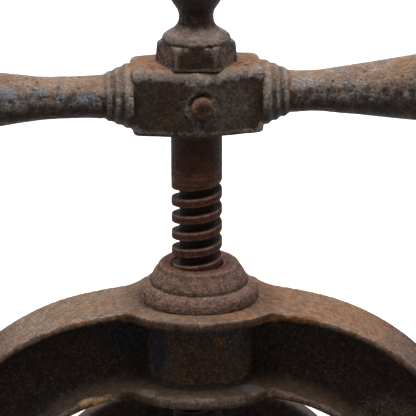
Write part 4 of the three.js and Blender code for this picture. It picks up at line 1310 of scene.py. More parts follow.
HANDLE_IRON = IronFinish(
    "cast_handle", level=DATUM.block_middle, body=(70, 58, 46), second=(82, 64, 48), specular=0.14,
    dust=(188, 162, 143), dust_and_top_light_second=(178, 140, 112),
    patina=(128, 134, 142), edge=(184, 172, 164), rub=(176, 162, 156), dust_and_top_light_over_rub=0.35, patina_scale=130.0,
    patina_spread=0.42,
    patina_share=0.7, patina_from=40.0, dust_and_top_light_from=0.15, dust_and_top_light_to=0.6, dirt_and_shade_share=0.35, pit_share=0.8, roughness=0.56,
    rings=(Ring(radius=33, above=DATUM.block_middle + 14.8, colour=(164, 118, 84), softness=1.5),),
    patches=(
        Patch((-37, -3, 0), (7, 18, 18), (92, 78, 71), 0.75, under=True),
        Patch((37, 3, 0), (7, 18, 18), (92, 78, 71), 0.65, under=True),
        Patch((-50.5, -12, 3), (6, 9, 2.6), (148, 154, 164), 0.9),
        Patch((-62, -13, 3.2), (2.6, 9, 1.8), (150, 158, 170), 0.8),
        Patch((-72, -13, 5.4), (5, 9, 1.9), (148, 154, 164), 0.85),
        Patch((-89, -14, 5.6), (8, 9, 3.6), (148, 154, 166), 0.9),
        Patch((51, -6, 6.5), (6, 9, 3.2), (170, 170, 172), 0.7),
        Patch((72, -6, 6), (7, 9, 2.2), (168, 166, 166), 0.6),
        Patch((1.7, -20, -1.5), (7, 5, 12), (66, 54, 43), 0.85),
        Patch((17, -17, -2), (15, 8, 14), (108, 97, 87), 0.75, under=True),
        # Painted highlight: a pale crescent on the dish round the pin, up and to the right.
        Patch((7.6, -19.4, 2.6), (1.5, 3, 2.8), (184, 170, 156), 0.85),
        Patch((0, -16.5, -15.6), (30, 7, 3), (66, 56, 48), 0.75),
    ),
    **BLACK_IRON,
)
FINIAL_IRON = IronFinish(
    "finial_iron", level=DATUM.finial_bottom, body=(68, 46, 34), second=(78, 55, 42), dust=(198, 180, 169),
    dust_and_top_light_second=(170, 150, 138), patina=(108, 100, 96), edge=(150, 136, 124), rub=(116, 102, 93), dust_and_top_light_over_rub=0.3,
    # Sides are drawn at 0.75 of the light of what faces up: painted shade.
    patina_spread=0.3, patina_share=0.4, rust_share=0.7, dust_and_top_light_from=0.2, side_shade=0.75, specular=0.12, roughness=0.52,
    patches=(
        # The next two paint a reflection that lightens the hexagon's left and right faces.
        Patch((-16, -9, 4.5), (7, 9, 6), (146, 120, 108), 0.75, under=True),
        Patch((16, -9, 4.5), (7, 9, 6), (150, 129, 115), 0.75, under=True),
        Patch((0, 0, 21.5), (11, 11, 4.5), (104, 84, 74), 0.6, under=True),
    ),
    **BLACK_IRON,
)
SCREW_IRON = IronFinish(
    "screw_iron", body=(64, 35, 25), second=(44, 26, 19), specular=0.12, dust=(94, 62, 48), dust_and_top_light_second=(80, 54, 42),
    patina=(64, 50, 42), edge=(168, 132, 108), rub=(104, 64, 48), streak=0.2, dust_and_top_light_share=0.4, patina_spread=0.3,
    ochre_share=0.25, ochre=(120, 78, 40),
    grain=900.0, pits=420.0, bump=0.0006, roughness=0.6, tone_contrast=0.9,
    # Darker towards the core, between the thread's ridges.
    core=Ring(radius=10.6, above=100, colour=(26, 18, 15), softness=0.9), **BLACK_IRON,
)
RIVET_IRON = IronFinish(
    "rivet_iron", body=(82, 50, 39), second=(66, 41, 33), specular=0.12, dust=(110, 80, 66), dust_and_top_light_second=(98, 70, 58),
    patina=(90, 72, 64), edge=(128, 98, 82), dust_and_top_light_share=0.4, grain=900.0, pits=420.0, bump=0.0005, **BLACK_IRON,
)
STRAINER_IRON = IronFinish(
    "cast_strainer", body=(54, 38, 33), second=(66, 44, 36), dust=(142, 124, 108), dust_and_top_light_second=(122, 98, 84),
    patina=(84, 74, 68), edge=(136, 116, 102), patina_spread=0.3, rust_spread=0.55, **BLACK_IRON,
)
PLATE_IRON = IronFinish(
    "cast_plate", body=(56, 42, 36), second=(66, 48, 40), dust=(96, 76, 64), dust_and_top_light_second=(84, 62, 50),
    patina=(80, 72, 68), edge=(112, 94, 82), rust_spread=0.55, **BLACK_IRON,
)
TRAY_IRON = IronFinish(
    "cast_tray", body=(62, 50, 42), second=(80, 58, 46), dust=(128, 104, 88), dust_and_top_light_second=(112, 84, 68),
    patina=(98, 92, 88), edge=(138, 118, 100), ochre_share=0.6, **BLACK_IRON,
)
FASTENER_STEEL = IronFinish(
    "fastener_steel", body=(74, 58, 48), second=(86, 62, 48), dust=(120, 96, 80), dust_and_top_light_second=(104, 78, 62),
    patina=(104, 98, 92), edge=(146, 128, 112), grain=1100.0, pits=520.0, bump=0.00035, roughness=0.6, **BLACK_IRON,
)


# Frame


@dataclass(frozen=True)
class ArchOutline:
    """Half of one of the arch's outlines: a wide arc over the crown and a tighter one at the shoulder."""

    top: float
    crown_radius: float
    reach: float
    shoulder_radius: float
    lean: float = 0.0

    @property
    def shoulder_x(self) -> float:
        """Distance of the shoulder's centre from the middle."""
        return self.reach - self.shoulder_radius

    @property
    def spread(self) -> float:
        """Angle from the vertical at which the crown meets the shoulder."""
        return asin(self.shoulder_x / (self.crown_radius - self.shoulder_radius))

    def crown(self, share: float, offset: float = 0.0) -> np.ndarray:
        """A point of the crown, in X and Z, raised by an offset."""
        angle, radius = share * self.spread, self.crown_radius + offset
        return np.array([radius * sin(angle), self.top - self.crown_radius + radius * cos(angle)])

    def shoulder(self, share: float) -> np.ndarray:
        """A point of the shoulder, in X and Z.

        Args:
            share: 0 where it meets the crown, 1 at its outer end.

        Returns:
            The point.
        """
        angle = self.spread + share * (TURN / 4 + self.lean - self.spread)
        middle = self.top - self.crown_radius + (self.crown_radius - self.shoulder_radius) * cos(self.spread)
        x = self.shoulder_x + self.shoulder_radius * sin(angle)
        return np.array([x, middle + self.shoulder_radius * cos(angle)])


@dataclass
class PressFrame:
    """The arch with its hub, boss and foot pads, in one casting. Millimetres."""

    section_height: float = 43.3
    crown_rise: float = 0.5
    section_width: float = 37.0
    flange_edge: float = 3.6
    flange_root: float = 5.2
    arris: float = 0.3
    web: float = 7.0
    web_fillet: float = 6.0
    inner_crown: float = 208.0
    inner_shoulder: float = 75.0
    outer_crown: float = 240.0
    outer_shoulder: float = 110.0
    crown_steps: int = 25
    shoulder_steps: int = 37
    leg_inner: float = 99.5
    leg_depth: float = 40.5
    leg_lean: float = 6.0
    hub_radius: float = 37.5
    hub_fillet: float = 8.0
    lip_roll: float = 1.1
    barrel_radius: float = 25.0
    boss_height: float = 16.7
    bore_offset: float = 1.2
    bore: float = 12.5
    mouth: float = 12.5
    pad_inner: float = 96.5
    pad_width: float = 46.0
    pad_length: float = 80.0
    pad_corner: float = 9.0
    pad_thickness: float = 8.0
    bolt_spacing: float = 56.0
    bolt_hole: float = 4.3

    def __post_init__(self) -> None:
        """Derives the arch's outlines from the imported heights."""
        self.crown_top = DATUM.boss_top - self.boss_height + self.crown_rise
        self.hub_bottom = self.crown_top - self.crown_rise - self.section_height
        self.pad_top = DATUM.pad_bottom + self.pad_thickness
        lean = radians(self.leg_lean)
        self.inner = ArchOutline(self.hub_bottom, self.inner_crown, self.leg_inner, self.inner_shoulder)
        over = self.leg_inner + self.leg_depth
        self.outer = ArchOutline(self.crown_top, self.outer_crown, over, self.outer_shoulder, lean)

    def _stations(self) -> list[tuple[np.ndarray, np.ndarray]]:
        """Inner and outer points of the arch's sections, from the left foot to the right.

        Returns:
            A pair of points for each section.
        """
        right = [(self.inner.crown(share), self.outer.crown(share)) for share in np.linspace(0, 1, self.crown_steps)]
        below = np.linspace(0, 1, self.shoulder_steps)[1:]
        right += [(self.inner.shoulder(share), self.outer.shoulder(share)) for share in below]
        spring, foot = right[-1][1], self.pad_top - self.pad_thickness / 2
        outer = spring[0] - (spring[1] - foot) * tan(radians(self.leg_lean))
        right.append((np.array([self.leg_inner, foot]), np.array([outer, foot])))
        flip = np.array([-1.0, 1.0])
        return [(inner * flip, over * flip) for inner, over in reversed(right[1:])] + right

    def _beam(self) -> Shell:
        """The arch's I-section, carried through every station.

        Returns:
            The closed shell.
        """
        half, web = self.section_width / 2, self.web / 2
        root, bend = self.flange_root, self.web_fillet
        fillet = [(root + bend * (1 - cos(a)), web + bend * (1 - sin(a))) for a in np.linspace(0, TURN / 4, 5)]
        arris = self.arris
        quarter = [(0.0, half - arris), (arris, half), (self.flange_edge, half), *fillet]
        side = quarter + [(self.section_height - h, y) for h, y in reversed(quarter)]
        outline = side + [(h, -y) for h, y in reversed(side)]
        rings = []
        for inner, outer in self._stations():
            up = (outer - inner) / np.linalg.norm(outer - inner)
            ring = []
            for height, y in outline:
                near = height < self.section_height / 2
                point = inner + up * height if near else outer + up * (height - self.section_height)
                ring.append((point[0], y, point[1]))
            rings.append(np.array(ring))
        return loft(rings)

    def _hub_flange(self, arch: ArchOutline, lower: float, upper: float, roll: float = 0.0) -> Shell:
        """A hub flange: it follows the crown, its plan is a disc that runs into the arch, its rim may roll down.

        Args:
            arch: the outline that it follows.
            lower, upper: its faces, measured outwards from that outline.
            roll: how far its rim drops.

        Returns:
            The closed shell.
        """
        half = self.section_width / 2
        fillet_y = half + self.hub_fillet
        fillet_x = sqrt((self.hub_radius + self.hub_fillet) ** 2 - fillet_y**2)
        meet = fillet_x * self.hub_radius / (self.hub_radius + self.hub_fillet)
        rings = []
        for x in np.linspace(-fillet_x, fillet_x, 61):
            if abs(x) > meet:
                depth = fillet_y - sqrt(max(0.0, self.hub_fillet**2 - (fillet_x - abs(x)) ** 2))
            else:
                depth = sqrt(self.hub_radius**2 - x * x)
            depth = max(depth, half - 1)
            share = asin(x / (arch.crown_radius + (lower + upper) / 2)) / arch.spread
            low, high = arch.crown(share, lower), arch.crown(share, upper)
            down = np.array([0.0, roll * min(1.0, (fillet_x - abs(x)) / self.hub_fillet)])
            ease = 0.3 + roll * 0.8
            section = [(low, depth - 7.0), (low - down, depth - 2.4), (low - down, depth - ease)]
            section += [
                (low + (high - low) * 0.15 - down * 0.7, depth), (low + (high - low) * 0.75, depth),
                (high, depth - ease),
            ]
            section += [(point, -y) for point, y in reversed(section)]
            rings.append(np.array([(point[0], y, point[1]) for point, y in section]))
        return loft(rings)

    def _boss(self) -> Shell:
        """The boss: a cap and two rounded mouldings, parted by grooves, round the tapped hole.

        Returns:
            The closed shell.
        """
        top = DATUM.boss_top
        marks = [
            (self.mouth, -0.5), (self.mouth + 0.6, 0.0), (16.0, 0.1), (18.4, -0.1), (19.2, -1.0), (19.9, -2.5),
            (20.2, -2.8), (21.2, -4.2), (22.4, -6.2), (23.2, -8.0), (23.0, -8.8), (23.6, -9.1), (24.8, -9.6),
            (26.1, -10.7), (27.4, -12.6), (28.2, -14.6), (28.5, -15.8), (27.8, -16.3), (28.6, -16.9), (29.2, -19.0),
        ]
        outer = [(r, top + z) for r, z in marks]
        well = (self.mouth, top - 19.0)
        ring = hollow([well, *closer([(self.mouth, top - 3.0), *outer], 0.46)], 288)
        reach = np.hypot(ring.points[:, 0], ring.points[:, 1])
        ring.points[:, 0] += 0.75 * self.bore_offset * np.clip((reach - self.mouth) / 4, 0, 1)
        return ring

    def build(self) -> None:
        """Casts the frame and the boss on it."""
        finish = FRAME_IRON.material()
        arch = [self._beam(), self._hub_flange(self.outer, -self.flange_root, 0.0)]
        arch.append(self._hub_flange(self.inner, 0.0, self.flange_root, self.lip_roll))
        arch.append(bar(self.barrel_radius, self.hub_bottom + 2, self.crown_top - 2))
        shells = [shell.placed(x=self.bore_offset) for shell in arch]
        middle = self.pad_inner + self.pad_width / 2
        holes = [bar(self.bore, self.hub_bottom - 30, DATUM.boss_top + 5)]
        for side in (-1, 1):
            pad = slab(rounded_box(self.pad_width, self.pad_length, self.pad_corner), DATUM.pad_bottom, self.pad_top)
            shells.append(pad.placed(x=side * middle))
            for end in (-1, 1):
                hole = bar(self.bolt_hole, 0.0, self.pad_top + 5, facets=32)
                holes.append(hole.placed(x=side * middle, y=end * self.bolt_spacing / 2))
        cutters = [object_from(f"bore_{i}", [hole]) for i, hole in enumerate(holes)]
        casting = Casting(
            voxel=0.85, soften=1, lump=0.35, grain=0.12, edge_rounds=3, edge_gain=3.9, triangles=152000,
        ).cast("press_frame_arch", shells, finish, cutters)
        boss = object_from("boss", [self._boss()])
        roughened(boss, 1, (110.0, 0.5), (420.0, 0.3))
        boss = Casting(edge_rounds=8, edge_gain=4.0, hollow_rounds=12, hollow_gain=3.6).marked(boss, "boss", finish)
        piece = merged("press_frame_casting", [casting, boss])
        set_down(piece, Body.FRAME, "cast_frame", "press_frame")


# Screw, handle, pin and finial


@dataclass
class Screw:
    """The square-threaded screw with its plain shank and swivel head. Millimetres."""

    radius: float = 12.0
    depth: float = 3.8
    ridge: float = 4.1
    pitch: float = 8.3
    phase: float = 2.1
    thread_out: float = 42.0
    block_height: float = 31.8
    neck: float = 7.1
    head: float = 10.1
    head_height: float = 9.4

    def build(self) -> None:
        """Turns the core and winds the thread round it."""
        finish = SCREW_IRON.material()
        shank_bottom = DATUM.boss_top + self.thread_out
        shank_top = DATUM.block_middle - self.block_height / 2 - SEAT
        core, neck_top = self.radius - self.depth, DATUM.collar_top + SEAT
        head_top = DATUM.head_bottom + self.head_height
        profile = [
            (0.4, DATUM.head_bottom), (self.head - 1, DATUM.head_bottom), (self.head, DATUM.head_bottom + 1),
            (self.head, head_top), (self.neck, head_top), (self.neck, neck_top), (core, neck_top),
            (core, shank_bottom - 0.6), (self.radius - 0.5, shank_bottom - 0.6), (self.radius, shank_bottom),
            (self.radius, shank_bottom + 3.6), (self.radius - 0.22, shank_bottom + 3.9),
            (self.radius, shank_bottom + 4.2),
            (self.radius, shank_top - 0.5), (self.radius - 0.5, shank_top), (9.9, shank_top),
            (9.9, DATUM.finial_bottom + 4), (0.4, DATUM.finial_bottom + 4),
        ]
        rough = object_from("core", [turned(closer(profile, 1.1), 120)], on_axis=False)
        start = DATUM.boss_top + self.phase
        bottom = neck_top + self.ridge / 2
        turns = (shank_bottom + 2.2 - bottom) / self.pitch
        values = {
            "Steps": int(turns * 96), "Profile Steps": 34, "Bottom": bottom * MM, "Turns": turns,
            "Pitch": self.pitch * MM,
            "Start Angle": (bottom - start) / self.pitch * TURN,
            "Middle Radius": (self.radius - self.depth / 2 - 0.35) * MM,
            "Depth": (self.depth + 0.6) * MM, "Ridge": self.ridge * MM, "Rounding": 0.6 * MM,
        }
        Recipe(TREES.thread, values).put_on(rough)
        roughened(rough, 0, (90.0, 0.18), (380.0, 0.1))
        piece = Casting(
            edge_rounds=2, edge_gain=9.0, hollow_rounds=6, hollow_gain=0.0,
        ).marked(rough, "square_thread_screw", finish)
        set_down(to_axis(piece), Body.SCREW, "screw_iron", "press_screw")


@dataclass
class CrossHandle:
    """The handle's block and its two turned grips, in one casting, with the pin through it. Millimetres."""

    turn: float = 5.0
    length: float = 60.6
    height: float = 31.8
    end_depth: float = 26.0
    ridge_depth: float = 39.0
    edge: float = 2.2
    top_edge: float = 3.2
    middle_edge: float = 2.6
    bottom_edge: float = 1.6
    collar_radius: float = 15.1
    collar_drop: float = 1.7
    collar_length: float = 4.0
    reach: float = 156.0
    pin_radius: float = 4.0
    pin_head: float = 5.35
    pin_height: float = 2.9
    pin_offset: float = 1.2
    pin_drop: float = 1.0

    def _set(self, shell: Shell) -> Shell:
        """A shell of the handle, turned with it and lifted to its height."""
        return shell.placed(z=DATUM.block_middle, turn=self.turn)

    def _block(self) -> Shell:
        """The six-sided block, deepest at its middle, with rounded edges and slightly crowned faces.

        Returns:
            The closed shell.
        """
        half, end, ridge = self.length / 2, self.end_depth / 2, self.ridge_depth / 2
        corners = [(half, end), (0, ridge), (-half, end), (-half, -end), (0, -ridge), (half, -end)]
        plan = soft_corners([(float(x), float(y)) for x, y in corners], self.edge)
        plan = closer([*plan, plan[0]], 1.5)[:-1]
        rings = []
        for z in np.linspace(-self.height / 2, self.height / 2, 65):
            ring = []
            for x, y in plan:
                middle = max(0.0, 1 - abs(x) / half)
                edge = self.top_edge + self.middle_edge * middle if z > 0 else self.bottom_edge
                over = max(0.0, abs(z) - (self.height / 2 - edge)) / edge
                inset = edge * (1 - sqrt(max(0.0, 1 - over**2)))
                ring.append((x * (1 - inset / half), y * (1 - inset / ridge), z))
            rings.append(np.array(ring))
        return loft(rings)

    def _arm(self, marks: Profile) -> Shell:
        """One arm, drawn upright: stepped collars, a neck, and a grip that swells and closes in a round end.

        Args:
            marks: radii of the neck and grip, with their distances from the axis.

        Returns:
            The closed shell.
        """
        start = self.length / 2
        profile = [(CORE, start - 8), (10.0, start - 8), (10.0, start - 0.3), (self.collar_radius, start - 0.3)]
        for step in range(3):
            radius = self.collar_radius - step * self.collar_drop
            end = start + (step + 1) * self.collar_length
            profile += [(radius, end - 1.3), (radius - 0.5, end - 0.5), (radius - self.collar_drop, end)]
        profile += smooth_line(marks, 8)
        tip_radius, tip = marks[-1]
        profile += [(tip_radius * cos(a), tip + (self.reach - tip) * sin(a)) for a in np.linspace(0.1, 1.5, 12)]
        profile.append((CORE, self.reach))
        return turned(profile, 96)

    def build(self) -> None:
        """Casts the handle."""
        right = self._arm(
            [
                (9.9, 44.5), (9.6, 50.0), (9.7, 56.0), (10.6, 65.0), (12.5, 80.5), (14.6, 95.5), (15.9, 107.0),
                (16.6, 120.0), (16.3, 135.0), (15.6, 145.0),
            ]
        )
        left = self._arm(
            [
                (10.2, 44.5), (9.9, 50.0), (9.8, 60.0), (10.1, 72.0), (11.3, 82.0), (12.7, 93.0), (14.1, 107.0),
                (15.0, 122.0), (15.0, 135.0), (14.4, 145.0),
            ]
        )
        shells = [self._set(shell) for shell in (self._block(), right.laid("Y", 90), left.laid("Y", -90))]
        dish = bar(6.7, self.ridge_depth / 2 - 1.5, self.ridge_depth / 2 + 6).laid("X", 90)
        rise = 0.3 - self.pin_drop
        dishes = [
            dish.placed(x=self.pin_offset + 0.7, z=rise), dish.laid("Z", 180).placed(x=self.pin_offset - 0.7, z=rise),
        ]
        cutters = [object_from(f"dish_{i}", [self._set(shell)]) for i, shell in enumerate(dishes)]
        casting = Casting(
            voxel=0.65, soften=1, grain=0.3, edge_rounds=14, edge_gain=2.6, hollow_rounds=22, hollow_gain=2.0,
        )
        piece = casting.cast("cross_handle_casting", shells, HANDLE_IRON.material(), cutters)
        set_down(piece, Body.SCREW, "cast_handle", "cross_handle")

    def build_pin(self) -> None:
        """Upsets the pin's two heads."""
        seat = self.ridge_depth / 2 + SEAT
        head = closer(
            [
                (CORE, seat - 1.2), (self.pin_head, seat - 1.2), (self.pin_head, seat + 1.4),
                (self.pin_head - 0.7, seat + 2.3), (self.pin_head - 1.8, seat + self.pin_height),
                (CORE, seat + self.pin_height + 0.1),
            ],
            0.5,
        )
        front = turned(head, 64)
        lying = [shell.laid("X", 90) for shell in (front, front.laid("X", 180), bar(self.pin_radius, -seat, seat))]
        rough = object_from("pin", [self._set(shell.placed(x=self.pin_offset, z=-self.pin_drop)) for shell in lying])
        roughened(rough, 1, (160.0, 0.5), (480.0, 0.2))
        piece = Casting(edge_rounds=5, edge_gain=8.0).marked(rough, "riveted_pin", RIVET_IRON.material())
        set_down(piece, Body.SCREW, "rivet_iron", "cross_pin")


@dataclass
class Finial:
    """The hexagonal nut with its bell, neck and ball. Millimetres."""

    hex_radius: float = 19.3
    hex_top_radius: float = 18.4
    hex_height: float = 9.9
    ball_radius: float = 13.6

    def _hexagon(self) -> Shell:
        """The tapered hexagon, its corners turned off at the top.

        Returns:
            The closed shell.
        """
        bottom = DATUM.finial_bottom
        inner = cos(TURN / 12)

        def radius(angle: float, level: float) -> float:
            """The smaller of the hexagon's reach and the turned envelope's.

            Args:
                angle: place round the axis.
                level: height.

            Returns:
                The radius.
            """
            share = (level - bottom) / self.hex_height
            flat = (self.hex_radius + (self.hex_top_radius - self.hex_radius) * share) * inner
            across = (angle % (TURN / 6)) - TURN / 12
            reach = flat / cos(across) + 0.4 * max(0.0, 1 - (level - bottom) / 2.2) ** 2
            envelope = self.hex_radius + 0.5 - max(0.0, level - bottom - self.hex_height + 2.6) * 0.9
            return min(reach, envelope) - 0.15

        levels = [bottom + self.hex_height * t for t in np.linspace(-0.08, 1, 23)]
        return polar(levels, radius, 144)

    def build(self) -> None:
        """Casts the finial."""
        bottom, top = DATUM.finial_bottom, DATUM.finial_top
        centre = top - self.ball_radius
        hex_top = bottom + self.hex_height
        marks = [
            (14.9, -1.0), (15.0, 0.4), (15.8, 0.9), (15.9, 1.6), (15.1, 2.5), (13.4, 3.7), (11.3, 5.1), (9.4, 6.9),
            (8.3, 9.0), (7.9, 11.4), (8.1, 13.4), (9.0, 15.6), (10.2, 17.3),
        ]
        flank = smooth_line([(r, hex_top + z) for r, z in marks], 5)
        foot = centre - sqrt(self.ball_radius**2 - 11.1**2)
        angles = np.linspace(asin((foot - centre) / self.ball_radius), TURN / 4 - 0.03, 30)
        flank += [(self.ball_radius * cos(a), centre + self.ball_radius * sin(a)) for a in angles]
        shells = [self._hexagon(), turned([(CORE, hex_top - 2.0), *flank, (CORE, top)], 96)]
        casting = Casting(
            voxel=0.55, soften=2, lump_size=10, grain=0.3, grain_size=2.6, edge_rounds=24, edge_gain=2.7,
            hollow_rounds=20, hollow_gain=1.8,
        )
        piece = casting.cast("finial_casting", shells, FINIAL_IRON.material())
        set_down(piece, Body.SCREW, "cast_handle", "finial_nut")


# Cylinder, floor, plate and tray


def copies_of(
    name: str, part: Object, tree: NodeTree, values: dict[str, object],
    finish: Material | None = None,
) -> Object:
    """Copies of a part, set by a tree, as one plain object.

    Args:
        name: the result's name.
        part: what is copied; it is removed.
        tree: the tree that sets them.
        values: its inputs.
        finish: the material, if the copies stay to be seen.

    Returns:
        The object, about the origin.
    """
    holder = linked(f"{name}_holder", bpy.data.meshes.new(f"{name}_holder"))
    Recipe(tree, {"Part": part} | values | ({"Finish": finish} if finish else {})).put_on(holder)
    made = baked(holder, name)
    bpy.data.objects.remove(part)
    return made


def ring_of(
    name: str, part: Object, count: int, radius: float, first: float = 0.0, rows: int = 1, rise: float = 0.0,
    finish: Material | None = None
) -> Object:
    """Copies of a part set round the screw's axis.

    Args:
        name: the result's name.
        part: what is copied; it is removed.
        count: copies in a row.
        radius: distance from the axis, in millimetres.
        first: angle of the first, in degrees.
        rows: rows one above another.
        rise: from row to row, in millimetres.
        finish: the material, if the copies stay to be seen.

    Returns:
        One plain object.
    """
    values = {"Count": count, "Rows": rows, "Radius": radius * MM, "First Turn": radians(first), "Row Rise": rise * MM}
    return to_axis(copies_of(name, part, TREES.ring, values, finish))


@dataclass
class Strainer:
    """The slotted cylinder and its loose perforated floor. Millimetres."""

    bore: float = 57.5
    wall: float = 4.0
    lip_height: float = 7.0
    ledge_width: float = 6.0
    ledge_height: float = 4.7
    slot_width: float = 5.0
    slot_count: int = 18
    slot_rows: int = 2
    margin: float = 11.6
    hole_radius: float = 3.0
    hole_spacing: float = 14.0
    hole_rings: int = 3

    def build(self) -> None:
        """Casts the cylinder and cuts its slots."""
        bottom, top, outer = DATUM.cylinder_bottom, DATUM.cylinder_top, DATUM.cylinder_radius
        wall, lip = self.bore + self.wall, self.lip_height
        profile = [
            (self.bore - self.ledge_width, bottom), (outer - 0.6, bottom), (outer, bottom + 0.6), (outer, bottom + lip),
            (wall, bottom + lip + 2), (wall, top - lip - 2), (outer, top - lip), (outer, top - 2.4),
            (outer - 0.8, top - 0.8),
            (outer - 2.4, top), (self.bore + 1.6, top), (self.bore + 0.4, top - 0.5), (self.bore, top - 1.6),
            (self.bore, bottom + self.ledge_height), (self.bore - self.ledge_width, bottom + self.ledge_height),
        ]
        length = (top - lip - DATUM.floor_top - (self.slot_rows + 1) * self.margin) / self.slot_rows
        plan = rounded_box(self.slot_width, length, self.slot_width / 2 - 0.01)
        slot = slab(plan, -12.0, 12.0).laid("X", 90).laid("Z", 90)
        first_row = DATUM.floor_top + self.margin + length / 2
        part = object_from("slot", [slot.placed(z=first_row)], on_axis=False)
        slots = ring_of(
            "slots", part, self.slot_count, wall, 0.25 * 360 / self.slot_count - 90, self.slot_rows,
            length + self.margin,
        )
        casting = Casting(voxel=1.1, soften=2, triangles=150000)
        piece = casting.cast("strainer_casting", [hollow(profile, 180)], STRAINER_IRON.material(), [slots])
        set_down(piece, Body.FRAME, "cast_strainer", "strainer_cylinder")

    def build_floor(self) -> None:
        """Casts the loose floor and drills its rings of holes."""
        bottom, top = DATUM.floor_bottom, DATUM.floor_top
        disc = turned(
            [
                (CORE, bottom), (self.bore - 0.9, bottom), (self.bore - 0.4, bottom + 0.5),
                (self.bore - 0.4, top - 0.5), (self.bore - 0.9, top), (CORE, top),
            ],
            144,
        )
        drill = bar(self.hole_radius, bottom - 2, top + 2, facets=24)
        cutters = [object_from("middle_hole", [drill])]
        for ring in range(1, self.hole_rings + 1):
            hole = object_from("hole", [drill], on_axis=False)
            cutters.append(ring_of(f"holes_{ring}", hole, 6 * ring, self.hole_spacing * ring))
        casting = Casting(voxel=1.0, soften=1, lump=0.3, triangles=60000)
        piece = casting.cast("strainer_floor_disc", [disc], PLATE_IRON.material(), cutters)
        set_down(piece, Body.FRAME, "cast_strainer", "strainer_floor")


@dataclass
class Plate:
    """The press plate with its socket, ribs, split collar and screws. Millimetres."""

    radius: float = 56.5
    thickness: float = 7.0
    socket_radius: float = 22.0
    rib_width: float = 5.0
    rib_count: int = 6
    screw_circle: float = 16.05

    def build(self) -> None:
        """Casts the plate."""
        bottom, top = DATUM.plate_bottom, DATUM.socket_top
        deck = bottom + self.thickness
        disc = turned(
            [
                (CORE, bottom), (self.radius - 1, bottom), (self.radius, bottom + 1), (self.radius, deck - 1),
                (self.radius - 1, deck), (self.socket_radius + 3, deck), (self.socket_radius + 1, deck + 0.9),
                (self.socket_radius, deck + 3), (self.socket_radius, top), (CORE, top),
            ],
            144,
        )
        side = [
            (12.0, deck - 2), (self.radius - 2.5, deck - 2), (self.radius - 2.5, deck), (self.socket_radius, top - 1.2),
            (12.0, top - 1.2),
        ]
        rib = slab(side, -self.rib_width / 2, self.rib_width / 2).laid("X", 90)
        ribs = [rib.placed(turn=i * 360 / self.rib_count) for i in range(self.rib_count)]
        well = object_from("well", [bar(10.4, DATUM.head_bottom - SEAT, top + 4)])
        piece = Casting(voxel=0.9, soften=2, triangles=90000).cast(
            "press_plate_casting", [disc, *ribs], PLATE_IRON.material(), [well],
        )
        set_down(piece, Body.PLATE, "cast_plate", "press_plate")

    def build_screws(self) -> None:
        """Sets the four countersunk screws, each with a driver slot, into the collar."""
        top = DATUM.collar_top
        screw = turned(
            closer(
                [
                    (0.2, top - 11.0), (2.0, top - 11.0), (2.0, top - 1.6), (3.5, top - 0.1), (3.5, top + 0.05),
                    (3.1, top + 0.3), (0.2, top + 0.4),
                ],
                0.5,
            ),
            40,
        )
        body = object_from("collar_screw", [screw], on_axis=False)
        groove = object_from(
            "driver_slot", [slab([(-4, -0.45), (4, -0.45), (4, 0.45), (-4, 0.45)], top - 0.7, top + 2)], on_axis=False,
        )
        cut = body.modifiers.new("slot", "BOOLEAN")
        cut.object, cut.solver = groove, "EXACT"
        body = baked(body, "collar_screw")
        bpy.data.objects.remove(groove)
        piece = ring_of("collar_screws", body, 4, self.screw_circle, 45.0, finish=FASTENER_STEEL.material())
        piece.data.set_sharp_from_angle(angle=radians(35))
        nodes = [f"collar_screw_{end}_{i}" for end in ("front", "rear") for i in (1, 2)]
        set_down(piece, Body.PLATE, "fastener_steel", *nodes)

    def dress_collar(self) -> None:
        """Gives the two halves of the split collar their finish."""
        finish = PLATE_IRON.material()
        for end in ("front", "rear"):
            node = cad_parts[f"retaining_collar_{end}"]
            node.material_slots[0].material = finish
            log.info("%s dressed", node.name)


